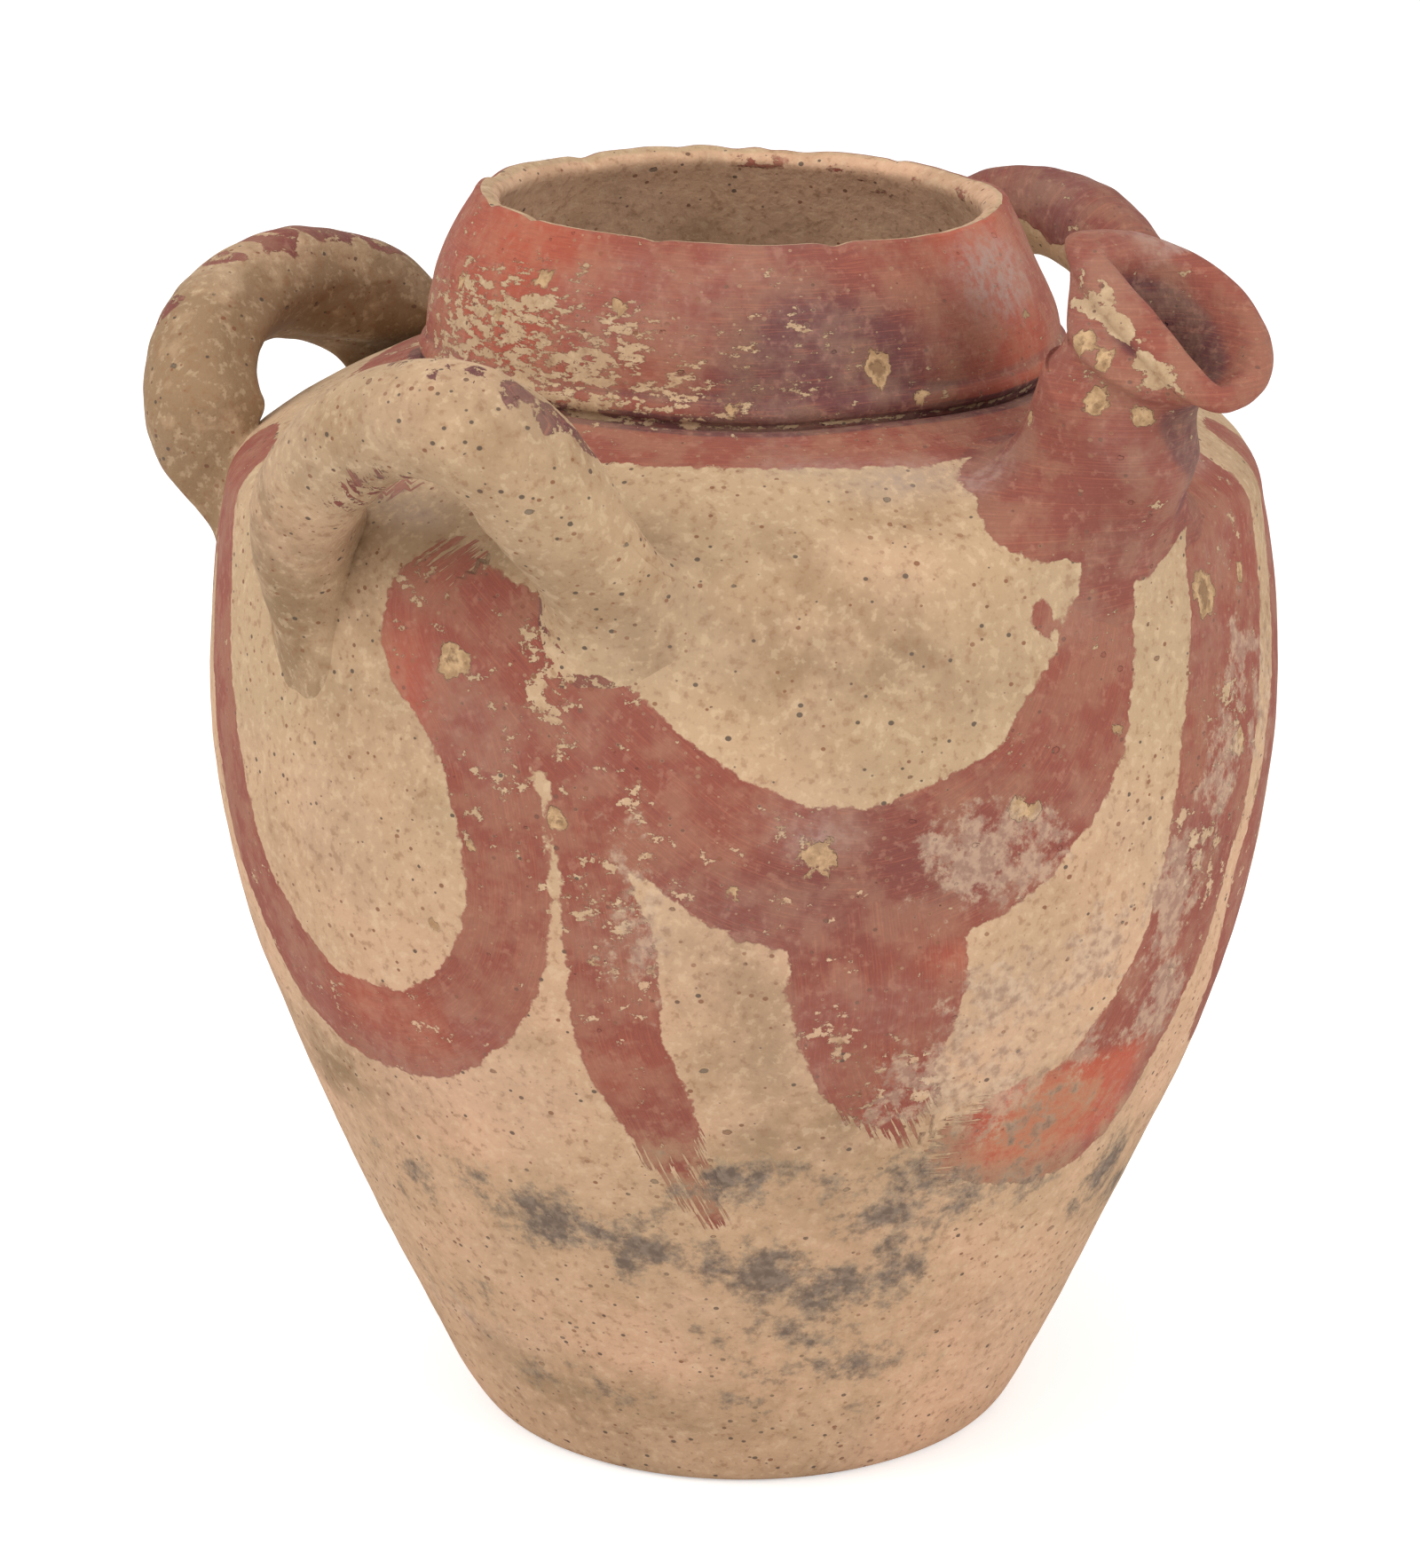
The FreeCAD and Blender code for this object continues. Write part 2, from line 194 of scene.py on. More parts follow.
# The hole that was cut through the shoulder under the spout, before the spout was set on it.
hole_tilt = math.radians(8)
bpy.ops.mesh.primitive_cylinder_add(
    vertices=40, radius=0.0086, depth=0.024, location=(0.0875, 0, 0.196), rotation=(0, hole_tilt, 0)
)
hole_cutter = bpy.context.object
finish_with(jar_wall, "BOOLEAN", operation="DIFFERENCE", object=hole_cutter, solver="MANIFOLD")
bpy.data.objects.remove(hole_cutter)
jar_wall.data.materials.clear()
put_back(jar_wall, hand_shaped(places(jar_wall), fine=0.1))
close_up(jar_wall, cap=False)

# The slip: iron-red liquid clay, brushed on before firing in bands that hang between the spout
# and the handles. Each stroke of the brush is a row of (bearing round the jar in degrees, run up
# the wall from the foot in mm, half the stroke's width in mm, dryness of the brush).
strokes = [
    [
        (-3, 216, 6, 0), (-3, 203, 6.5, 0), (-3.5, 190, 7.2, 0), (-7.5, 172, 12, 0), (-13, 159, 14, 0),
        (-22, 150, 15, 0), (-32, 147, 14, 0.1), (-43, 152, 13.5, 0.2), (-52, 164, 12, 0.2),
        (-60, 176, 11.5, 0.3), (-66, 186, 11, 0.3), (-71, 193, 8, 0.3),
    ],
    [(-30, 140, 16, 0), (-29, 126, 16, 0.1), (-29, 113, 12, 0.4), (-26.5, 102, 8, 0.7), (-24, 94, 3, 1)],
    [
        (-61, 172, 3, 0.4), (-58.5, 152, 5.5, 0.4), (-56.5, 135, 8, 0.3), (-56, 118, 8.2, 0.2),
        (-53.5, 104, 7.5, 0.3), (-50.5, 90, 5.5, 0.8), (-47, 76, 3.5, 1),
    ],
    [
        (-74, 200, 5, 1), (-77, 193, 8, 0.6), (-76, 185, 10.5, 0.3), (-70.5, 172, 9.5, 0.4),
        (-67.5, 152, 8.5, 0.3), (-67.5, 136, 8, 0.1), (-71.5, 121, 9, 0.2), (-80, 110, 9.3, 0.5),
        (-90, 108.5, 9.5, 0.5), (-98, 112.5, 9.5, 0.4), (-106.5, 127, 8.5, 0.4), (-111.5, 145, 8, 0.4),
        (-115, 163, 8.2, 0.4), (-118, 184, 8, 0.4), (-121, 203, 7.5, 0.5),
    ],
    [
        (18, 214, 14, 0.2), (19.5, 198, 15.5, 0.2), (18, 175, 16, 0.2), (15.5, 152, 15.5, 0.2),
        (13, 132, 14, 0.2), (8.5, 112, 13.5, 0.2), (1, 92, 15.5, 0.1), (-8, 89.5, 13, 0.2),
        (-15, 90, 9.5, 0.8),
    ],
    [
        (29, 96, 7, 0.6), (28.5, 116, 8.5, 0.2), (31, 138, 7.5, 0.2), (34.5, 162, 7, 0.2),
        (38, 186, 7, 0.3), (43, 206, 7, 0.3),
    ],
    [
        (72, 206, 9, 0.3), (74, 188, 10, 0.2), (78, 160, 9.5, 0.2), (80, 136, 9, 0.2), (87, 117, 9.5, 0.2),
        (98, 108, 10, 0.3), (109, 113, 10, 0.4), (117, 130, 9, 0.4), (121, 152, 8.5, 0.4),
        (125, 178, 8, 0.4), (128, 204, 8, 0.4),
    ],
    [
        (43, 204, 7, 0.3), (48, 186, 9, 0.2), (55, 170, 11, 0.1), (63, 163, 11, 0.1), (70, 170, 10, 0.2),
        (75, 184, 9, 0.3),
    ],
    [(58, 168, 8, 0.1), (58, 146, 9, 0.2), (57, 124, 8, 0.4), (56, 104, 5, 0.8), (56, 88, 3, 1)],
    [
        (128, 204, 8, 0.3), (132, 182, 10, 0.2), (140, 162, 13, 0.1), (151, 154, 14, 0.1),
        (162, 162, 12.5, 0.2), (171, 182, 10, 0.3), (175, 204, 8, 0.4),
    ],
    [(149, 152, 11, 0.1), (149, 132, 9, 0.3), (150, 112, 6, 0.7), (151, 94, 3, 1)],
    [
        (174, 206, 9, 0.3), (177, 186, 10, 0.3), (182, 160, 9, 0.3), (185, 136, 9, 0.2),
        (193, 117, 9.5, 0.3), (203, 109, 10, 0.4), (214, 115, 9.5, 0.4), (222, 134, 8.5, 0.4),
        (227, 160, 8, 0.4), (231, 184, 8, 0.4), (234, 204, 8, 0.5),
    ],
]


def drawn_out(stroke, parts=6):
    """The stroke with smooth bends, as rows of bearing, run, half width and dryness."""
    points = np.array([stroke[0], *stroke, stroke[-1]], dtype=float)
    rows = []
    for a, b, c, d in zip(points, points[1:], points[2:], points[3:]):
        for t in np.arange(parts) / parts:
            bend, twist = 2 * a - 5 * b + 4 * c - d, 3 * b - a - 3 * c + d
            rows.append(0.5 * (2 * b + (c - a) * t + bend * t ** 2 + twist * t ** 3))
    return np.array(rows + [points[-2]])


line_starts, line_ways = outer_line[:-1], np.diff(outer_line, axis=0)
line_lengths = np.hypot(*line_ways.T)
foot_rise = math.hypot(*np.subtract(foot_line[0], base_edge))
line_runs = np.concatenate([[0], np.cumsum(line_lengths)]) + foot_rise
wall_count = len(foot_line) + len(wall_line)
usual_reach = 95


def on_the_wall(points):
    """For points in mm: bearing, run up the wall, and how far each stands off its outside."""
    flat = np.stack([np.hypot(points[:, 0], points[:, 1]), points[:, 2]], axis=1)
    away = flat[:, None, :] - line_starts[None]
    share = np.clip((away * line_ways).sum(2) / line_lengths ** 2, 0, 1)
    gap = away - share[..., None] * line_ways
    nearest = np.argmin((gap ** 2).sum(2), axis=1)
    rows = np.arange(len(points))
    normal = np.stack([line_ways[:, 1], -line_ways[:, 0]], axis=1) / line_lengths[:, None]
    off = (gap[rows, nearest] * normal[nearest]).sum(1)
    run = line_runs[nearest] + share[rows, nearest] * line_lengths[nearest]
    return np.degrees(np.arctan2(points[:, 1], points[:, 0])), run, off


def read_places(piece):
    """A piece's points, with their bearing, run, distance off the wall and reach."""
    points = places(piece)
    return points, *on_the_wall(points), np.hypot(points[:, 0], points[:, 1])


def turned_by(bearing, middle):
    """How many degrees, from -180 to 180, a bearing lies on from a middle one."""
    return (bearing - middle + 180) % 360 - 180


def brushed(bearing, run, reach):
    """How deep each point lies inside the nearest stroke, in mm, with its place along and across
    the brush's way and the dryness there. Each stroke has bristle marks of its own."""
    cover = np.full(len(bearing), -40.0)
    along, across, dry = np.zeros((3, len(bearing)))
    for number, stroke in enumerate(strokes):
        rows = drawn_out(stroke)
        middle = rows[:, 0].mean()
        x = np.radians(turned_by(bearing, middle)) * reach
        walked = 37.0 * number
        for (b0, r0, w0, d0), (b1, r1, w1, d1) in zip(rows, rows[1:]):
            x0, x1 = np.radians(b0 - middle) * reach, np.radians(b1 - middle) * reach
            dx, dy = x1 - x0, r1 - r0
            length = np.sqrt(dx * dx + dy * dy) + 1e-6
            t = np.clip(((x - x0) * dx + (run - r0) * dy) / length ** 2, 0, 1)
            gx, gy = x - x0 - t * dx, run - r0 - t * dy
            side = (gx * dy - gy * dx) / length
            depth = w0 + (w1 - w0) * t - np.hypot(gx, gy)
            better = depth > cover
            cover[better] = depth[better]
            along[better] = (walked + t * length)[better]
            across[better] = (side + 25 * number)[better]
            dry[better] = (d0 + (d1 - d0) * t)[better]
            walked += math.hypot(math.radians(b1 - b0) * usual_reach, dy)
    return cover, along, across, dry


def spots(bearing, run, reach, rows):
    """How deep each point lies inside the deepest of some round spots, in mm. A row is bearing,
    run, half width round the jar and half height."""
    depth = np.full(len(bearing), -30.0)
    for middle, level, wide, high in rows:
        x = np.radians(turned_by(bearing, middle)) * reach / wide
        y = (run - level) / high
        depth = np.maximum(depth, (1 - np.hypot(x, y)) * min(wide, high))
    return depth


def record(piece, **fields):
    """Keeps a number for each of the piece's points, which its material reads by name."""
    for name, values in fields.items():
        every = np.broadcast_to(values, len(piece.data.vertices)).astype(np.float32)
        piece.data.attributes.new(name, "FLOAT", "POINT").data.foreach_set("value", every)


# Where the jar has aged: soot and black mould low on the belly, pale lime on the slip, round spalls where
# grit popped out, pale haze, brown stains, and drops of slip beside the strokes. One haze spot and one stain
# spot, on the shoulder under the near handle's loop, are painted shadow, not haze or stain.
# Each row is a bearing, a run up the wall, and half the spot's width and height.
soot_spots = [
    (-97, 77, 6, 6), (-91, 74, 9, 6), (-82, 73, 9, 5), (-69, 71, 10, 8), (-61, 69, 11, 7),
    (-55, 66, 12, 8), (-48, 63, 12, 8), (-40, 60, 13, 8), (-31, 57, 12, 8), (-23, 59, 11, 9),
    (-41, 84, 14, 6), (-33, 82, 14, 7), (-27, 74, 11, 8), (-19, 80, 14, 8), (-11, 74, 12, 6),
    (-7, 90, 9, 6), (-38, 45, 10, 5), (-28, 33, 8, 3), (13, 70, 8, 11), (22, 60, 12, 8), (60, 66, 18, 8),
    (150, 62, 26, 8), (205, 70, 20, 7), (-90, 42, 7, 3), (-60, 24, 18, 3),
]
lime_spots = [
    (-22, 104, 12, 9), (-12, 100, 9, 10), (-15, 122, 9, 7), (-4, 124, 9, 10), (-2, 104, 5, 6),
    (8, 130, 7, 14), (10, 110, 9, 9), (16, 152, 8, 12), (26, 162, 6, 12), (20, 172, 6, 8),
    (-18, 150, 14, 9), (-62, 68, 6, 4), (-95, 35, 10, 5), (140, 150, 14, 10), (-54, 142, 5, 10),
]
wall_spalls = [
    (-73, 184, 3.6, 3.2), (-36, 152, 3.2, 4.0), (-14, 157, 3.4, 2.4), (13, 187, 3.4, 4.0),
    (22, 188, 1.8, 1.8), (20, 157, 2.2, 3.4), (-61.5, 158, 1.2, 1.2), (-58, 131, 1.2, 1.0),
    (3, 87, 1.8, 1.6), (-24, 171, 1.1, 1.1), (-44, 146, 1.3, 1.3), (-71, 151, 1.4, 1.2),
    (-76, 133, 1.2, 1.8), (27, 143, 1.6, 2.6), (-3, 168, 1.2, 1.2), (100, 160, 3, 3), (152, 150, 4, 3),
    (200, 130, 3, 3),
]
# The row (-84, 209, 12, 5) is painted shadow on the shoulder under the near handle's loop.
haze_spots = [
    (-22, 223, 16, 7), (-13, 219, 7, 5), (-34, 228, 13, 4), (-36, 156, 9, 5), (24, 212, 8, 6),
    (14, 262, 16, 4), (14, 263, 16, 11), (-84, 209, 12, 5),
]
# The row (-80, 206, 20, 10) is painted shadow on the shoulder under the near handle's loop.
stain_spots = [
    (-80, 206, 20, 10), (-34, 192, 26, 12), (-92, 190, 22, 16), (-88, 176, 8, 22), (-70, 200, 12, 9),
    (-50, 208, 26, 8), (-24, 214, 16, 7), (12, 205, 14, 9), (-96, 90, 26, 10), (-30, 92, 26, 14),
    (-44, 124, 14, 24), (60, 100, 30, 16), (160, 90, 30, 20), (-64, 20, 34, 12),
]
stray_slip = [(-11.7, 191, 2.4, 3.6), (-12, 206, 6, 6), (-92, 214, 9, 3.2), (-96, 209, 6, 2.2)]
skin = 2.6  # what lies less deep than this below the wall's outside, in mm, belongs to it


def aged(piece, extra_spalls=(), patchy=0.22, **fields):
    """Records on a piece what its material shows: its slip, how it was brushed and how it wore, the tint and
    the stains of its clay, the painted shade and painted light on it, and the soot, the lime and the spalls
    on it."""
    points, bearing, run, off, reach = read_places(piece)
    near = off > -skin
    sooty = np.where(near & (run < 125), spots(bearing, run, reach, soot_spots), -30)
    limy = np.where(near & (run < 200), spots(bearing, run, reach, lime_spots), -30)
    hazy, stained = (spots(bearing, run, reach, rows) for rows in (haze_spots, stain_spots))
    fields.setdefault("soot", sooty + 5 * mottle(points, 13, 1))
    fields.setdefault("lime", limy + 4 * mottle(points, 9, 2))
    spall = np.where(near, spots(bearing, run, reach, wall_spalls), -30)
    for x, y, z, size in extra_spalls:
        spall = np.maximum(spall, size - np.linalg.norm(points - (x, y, z), axis=1))
    haze = 0.14 * eased(mottle(points, 22, 3), -0.1, 0.7) + 0.85 * eased(hazy, -2, 8)
    # Pinker low on the body, yellow-buff and painted darker as shade higher up.
    warm = np.where(near, 0.72 - 0.75 * eased(points[:, 2], 90, 190), 0.9)
    warm = warm + 0.45 * mottle(points, 38, 4)
    fields["flaked"] = fields["flaked"] + 0.3 * mottle(points, 16, 5)
    fields["bright"] = fields["bright"] + patchy * mottle(points, 26, 6)
    # Stains at random and from the stain spots, one of which is painted shadow.
    stain = eased(mottle(points, 30, 7), -0.1, 0.9) * 0.7 + 0.8 * eased(stained, -4, 8)
    fields.setdefault("stain", stain)
    record(piece, spall=spall, haze=haze, warm=np.clip(warm, 0, 1), **fields)


def round_the_neck(bearing, run, reach):
    """How deep each point lies in the slip round the collar's foot and the spout's, in mm."""
    neck_band = run - 226.5 + 1.6 * np.sin(np.radians(bearing) * 3 + 1)
    return np.maximum(neck_band, spots(bearing, run, reach, [(1, 216, 24, 14), (-12, 207, 6, 6)]))


points, bearing, run, off, reach = read_places(jar_wall)
cover, along, across, dry = brushed(bearing, run, reach)
cover = np.maximum(cover, spots(bearing, run, reach, stray_slip))
neck_slip = round_the_neck(bearing, run, reach)
by_hand = neck_slip > cover
cover = np.where(by_hand, neck_slip, cover)
along = np.where(by_hand, np.radians(bearing) * reach, along)
across = np.where(by_hand, run, across)
dry = np.where(by_hand, 0.15, dry)
cover = np.where(off > -skin, np.clip(cover, -20, 20), -20)


def pool(middle, level, wide, high, sharp=2):
    """A soft spot, 1 at its middle, on the piece whose bearing and run were taken last."""
    aside, above = np.abs(turned_by(bearing, middle) / wide), np.abs((run - level) / high)
    return np.exp(-(aside ** sharp + above ** sharp))


def swathe(middle, wide):
    """A soft upright band, 1 along its middle, on the same piece."""
    return np.exp(-((turned_by(bearing, middle) / wide) ** 2))


flaked = (
    0.3 + 0.27 * pool(-64, 180, 9, 18) + 0.3 * pool(16, 160, 10, 40) + 0.35 * pool(-28, 112, 9, 14)
    + 0.3 * pool(-56, 140, 8, 24) - 0.3 * pool(-4, 92, 14, 14)
)
flaked = np.where(run > 222, 0.6 - 0.35 * eased(turned_by(bearing, -95), 20, 70), flaked)
bright = (
    0.55 * pool(-79, 178, 6, 18) + 1.2 * pool(-3, 92, 13, 11, 5) + 0.4 * pool(-86, 112, 16, 12)
    - 0.5 * pool(-30, 145, 22, 20) + 0.7 * pool(-21, 131, 5, 6)
)
# The strip of shoulder by the collar's foot is slipped, and painted darkest there as shade in the corner.
groove = (off > -4) & (run > 233) & (reach < 62.5) & (points[:, 2] > 205)
cover = np.where(groove, 20, cover)
bright = np.where(groove & (run > 236), -2.0, bright)
grit = 0.35 + 0.35 * pool(-92, 180, 18, 26) + 0.2 * eased(-run, -110, -60)
aged(
    jar_wall, slip=cover, along=along, across=across, dry=dry,
    flaked=flaked, bright=bright, grit=np.where(off > -skin, grit, 0.3),
)


def shade(red, green, blue):
    """A colour as read on a screen, from 11 to 255, for a shader socket."""
    return (*(((part / 255 + 0.055) / 1.055) ** 2.4 for part in (red, green, blue)), 1.0)


def fired_clay(name, flat):
    """Buff earthenware with grit and pits, under worn red slip, soot, lime and spalls. What has
    flaked off lies flat, or stretched round the jar, by the given share."""
    material = bpy.data.materials.new(name)
    material.use_nodes = True
    tree = material.node_tree
    shader = tree.nodes["Principled BSDF"]

    def node(kind, sockets=(), **settings):
        made = tree.nodes.new("ShaderNode" + kind)
        for key, value in settings.items():
            setattr(made, key, value)
        for key, value in dict(sockets).items():
            if isinstance(value, bpy.types.NodeSocket):
                tree.links.new(value, made.inputs[key])
            else:
                made.inputs[key].default_value = value
        return made

    def worked(operation, first, second):
        return node("Math", {0: first, 1: second}, operation=operation).outputs[0]

    def plus(first, second):
        return worked("ADD", first, second)

    def less(first, second):
        return worked("SUBTRACT", first, second)

    def times(first, second):
        return worked("MULTIPLY", first, second)

    def swing(value, reach):
        """A noise as a change to both sides of nothing."""
        return times(less(value, 0.5), reach)

    def field(word):
        return node("Attribute", attribute_name=word).outputs["Fac"]

    def ramp(value, low, high, to_low=0.0, to_high=1.0):
        limits = {0: value, 1: low, 2: high, 3: to_low, 4: to_high}
        return node("MapRange", limits, interpolation_type="SMOOTHSTEP").outputs[0]

    def blend(share, first, second):
        return node("Mix", {0: share, 6: first, 7: second}, data_type="RGBA").outputs[2]

    def stretched(x, y, z):
        return node("Mapping", {"Vector": place, "Scale": (x, y, z)}).outputs[0]

    def clouds(vector, scale, detail=4.0, rough=0.55):
        look = {"Vector": vector, "Scale": scale, "Detail": detail, "Roughness": rough}
        return node("TexNoise", look).outputs["Fac"]

    def crumbs(scale, spread):
        """Grains of one size: how far each point is from its grain, and the grain's own numbers."""
        cells = node("TexVoronoi", {"Vector": stretched(1, 1, spread), "Scale": scale}, feature="F1")
        kinds = node("SeparateColor", {0: cells.outputs["Color"]})
        return cells.outputs["Distance"], kinds.outputs[0], kinds.outputs[1]

    place = node("TexCoord").outputs["Object"]
    grain = clouds(place, 480.0, 3.0, 0.6)
    blotch = clouds(place, 115.0, 4.0, 0.62)

    # The body: yellow-buff above and painted darker there as shade, pinker below, mottled and full of fine
    # grit
    clay = blend(field("warm"), shade(184, 155, 122), shade(207, 166, 135))
    clay = blend(ramp(blotch, 0.46, 0.72, 0.0, 0.2), clay, shade(158, 120, 86))
    clay = blend(ramp(blotch, 0.45, 0.28, 0.0, 0.14), clay, shade(212, 182, 148))
    # Brown stains, and painted shade where the same field carries it: under the near handle, on the rear
    # strap's lower half and deep inside the collar.
    clay = blend(times(field("stain"), ramp(blotch, 0.34, 0.62, 0.25, 0.7)), clay, shade(146, 118, 88))
    clay = blend(ramp(grain, 0.54, 0.7, 0.0, 0.5), clay, shade(142, 102, 72))
    clay = blend(ramp(grain, 0.46, 0.34, 0.0, 0.25), clay, shade(222, 196, 162))
    far, kind, tint = crumbs(640.0, 1.2)
    rarity = less(0.97, times(field("grit"), 0.6))
    size = node("MapRange", {0: kind, 1: rarity, 2: 1.0, 3: 0.0, 4: 0.36}).outputs[0]
    speck = ramp(less(size, far), -0.05, 0.05)
    speck_colour = blend(ramp(tint, 0.55, 0.75), shade(128, 82, 56), shade(78, 66, 58))
    clay = blend(times(speck, ramp(tint, 0.1, 0.5, 0.3, 0.85)), clay, speck_colour)
    big_far, big_kind, big_tint = crumbs(230.0, 1.6)
    big_size = less(ramp(big_kind, 0.92, 1.0, 0.0, 0.17), big_far)
    lump = ramp(less(big_size, swing(grain, 0.5)), -0.03, 0.03)
    lump_colour = blend(ramp(big_tint, 0.4, 0.6), shade(120, 80, 58), shade(92, 82, 72))
    clay = blend(times(lump, 0.7), clay, lump_colour)
    # Pale haze on the clay, and painted shadow where the same field carries it under the near handle.
    clay = blend(times(field("haze"), ramp(grain, 0.35, 0.6, 0.3, 0.85)), clay, shade(158, 138, 124))

    # The slip: brushed, a little ragged, streaked where the brush ran dry, peppered and flaking
    def bristles(fineness, length, rough):
        """Marks of a brush, drawn out along its way."""
        way = {0: times(field("across"), fineness), 1: times(field("along"), length)}
        return clouds(node("CombineXYZ", way).outputs[0], 1.3, 3.0, rough)

    dryness = ramp(field("dry"), 0.45, 1.0, 0.0, 36.0)
    streaks = times(less(bristles(1.0, 0.06, 0.6), 0.54), dryness)
    ragged = plus(swing(blotch, 5.0), swing(grain, 2.2))
    ragged = plus(ragged, worked("MINIMUM", streaks, 1.0))
    painted = ramp(plus(worked("MINIMUM", field("slip"), 4.0), ragged), -0.25, 0.3)
    lost = clouds(stretched(1, 1, flat), 240.0, 6.0, 0.7)
    limit = less(0.735, times(field("flaked"), 0.27))
    flakes = ramp(less(lost, limit), -0.008, 0.008)
    chipped = plus(field("spall"), plus(swing(grain, 4.0), swing(blotch, 8.0)))
    spalled = ramp(chipped, -0.2, 0.35)
    peppered = less(ramp(kind, 0.6, 1.0, 0.0, 0.3), far)
    holes = worked("MAXIMUM", ramp(peppered, -0.05, 0.05, 0.0, 0.45), spalled)
    slip = times(painted, less(1.0, worked("MAXIMUM", flakes, holes)))
    # The slip's own tone, purple-brown to orange-red, with painted light and painted shade carried in the
    # same field.
    red = blend(ramp(field("bright"), 0.0, 1.0), shade(139, 76, 62), shade(176, 84, 60))
    red = blend(ramp(field("bright"), 0.0, -1.0), red, shade(100, 58, 57))
    fine_bristle = bristles(2.6, 0.09, 0.7)
    red = blend(ramp(fine_bristle, 0.5, 0.68, 0.0, 0.4), red, shade(174, 104, 80))
    red = blend(ramp(fine_bristle, 0.47, 0.32, 0.0, 0.35), red, shade(114, 66, 58))
    red = blend(ramp(grain, 0.54, 0.7, 0.0, 0.28), red, shade(188, 140, 116))
    # The same pale haze, and painted shadow, on the slip.
    red = blend(times(field("haze"), ramp(grain, 0.35, 0.6, 0.35, 1.0)), red, shade(170, 142, 130))
    colour = blend(times(slip, ramp(blotch, 0.62, 0.4, 0.8, 1.0)), clay, red)
    fresh_clay = blend(ramp(grain, 0.4, 0.6), shade(200, 162, 118), shade(158, 122, 84))
    colour = blend(times(spalled, 0.6), colour, fresh_clay)
    colour = blend(ramp(chipped, 1.4, 2.4, 0.0, 0.6), colour, shade(124, 94, 68))

    # What settled later: lime crust, and soot or mould in the pores
    crumble = clouds(place, 230.0, 6.0, 0.72)
    crust = ramp(plus(field("lime"), swing(crumble, 42.0)), -1.0, 5.0, 0.0, 0.62)
    crust_colour = blend(ramp(grain, 0.4, 0.62), shade(196, 168, 142), shade(158, 130, 112))
    colour = blend(crust, colour, crust_colour)
    grime = plus(field("soot"), swing(crumble, 34.0))
    colour = blend(ramp(grime, -9.0, 2.0, 0.0, 0.45), colour, shade(172, 142, 108))
    thin_grime = blend(ramp(grain, 0.4, 0.6), shade(156, 134, 110), shade(128, 109, 91))
    colour = blend(ramp(grime, 0.5, 4.0, 0.0, 0.6), colour, thin_grime)
    thick_grime = blend(ramp(grain, 0.38, 0.6), shade(114, 100, 91), shade(86, 75, 70))
    colour = blend(ramp(grime, 3.0, 9.0, 0.0, 0.7), colour, thick_grime)
    tree.links.new(colour, shader.inputs["Base Color"])
    tree.links.new(less(0.94, times(slip, 0.14)), shader.inputs["Roughness"])
    shader.inputs["Specular IOR Level"].default_value = 0.3

    relief = times(grain, 0.3)
    for value, depth in ((blotch, 0.2), (slip, 0.12), (crumble, 0.25)):
        relief = plus(relief, times(value, depth))
    for value, depth in ((lump, 0.3), (spalled, 0.3), (ramp(chipped, 1.0, 2.6), 0.5)):
        relief = less(relief, times(value, depth))
    bump = node("Bump", {"Height": relief, "Distance": 0.001, "Strength": 1.0})
    tree.links.new(bump.outputs[0], shader.inputs["Normal"])
    return material


painted_clay = fired_clay("fired_clay_under_red_slip", 1.4)
jar_wall.data.materials.append(painted_clay)
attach(jar_wall, "root")
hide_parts("base_disc", "lower_wall", "belly_wall", "upper_wall", "shoulder_ring")

# The collar: a short neck of clay drawn in towards a thin rim, set on the shoulder, with a low
# roll of clay pressed into the corner round its foot. Slip covers it all round outside.
foot_roll = [
    (54.8, 204.0), (57.0, 205.0), (59.0, 206.8), (59.2, 208.8), (59.4, 209.7), (60.3, 210.1),
    (60.9, 210.9), (61.1, 212.0), (60.8, 213.2), (60.1, 213.9), (59.7, 214.3),
]
collar_rise = bowed(foot_roll[-1], (50.6, 238.3), 2.0, 13)
collar_rim = [(50.3, 239.2), (49.8, 239.7), (48.6, 239.8), (47.2, 239.3), (46.0, 238.4), (45.4, 237.2)]
collar_inside = bowed(collar_rim[-1], (54.2, 209.5), -2.2, 12) + [(54.3, 206.5)]
collar_line = foot_roll + collar_rise + collar_rim + collar_inside + [foot_roll[0]]
jar_collar = raise_coils("jar_collar", collar_line, 144)
close_up(jar_collar)
finish_with(jar_collar, "SUBSURF", levels=1, render_levels=1)
points, bearing, run, off, reach = read_places(jar_collar)
top = eased(points[:, 2], 235, 239.3)
rim_chips = [
    (-24, 2.5, 0.7), (-62, 2.0, 0.5), (-95, 1.6, 0.5), (-114, 3, 0.8), (40, 3, 0.7), (124, 5, 0.7),
    (131, 2.5, 0.5), (139, 4, 0.7), (152, 3, 0.5), (100, 2, 0.4), (-150, 4, 0.7), (176, 3, 0.8),
]
for middle, wide, deep in rim_chips:
    points[:, 2] -= top * deep * swathe(middle, wide)
for index, point in enumerate(points):
    points[index, 2] += top[index] * 0.35 * noise.noise(Vector(point) * 0.06)
level = points[:, 2].copy()
thumbed = np.exp(-((turned_by(bearing, 47) / 28) ** 2 + ((level - 229) / 9) ** 2))
points[:, :2] *= (1 - 1.7 / reach * thumbed)[:, None]
put_back(jar_collar, hand_shaped(points, fine=0.12))
outside = off > -1.0
inner_touches = [
    (112, 237, 9, 3), (135, 237, 10, 2.5), (92, 237.5, 8, 2.0), (70, 237.5, 9, 2.0), (100, 233.5, 8, 1.5)
]
inner_touch = spots(bearing, level, reach, inner_touches)
slip = np.minimum(run - 226, 276.2 - run + 0.5 * np.sin(np.radians(bearing) * 7))
slip = np.where(outside, slip, np.where(level > 225, inner_touch - 1.5, -20))
groove = (level < 211) & (reach > 56)
slip = np.where(groove, 20, slip)
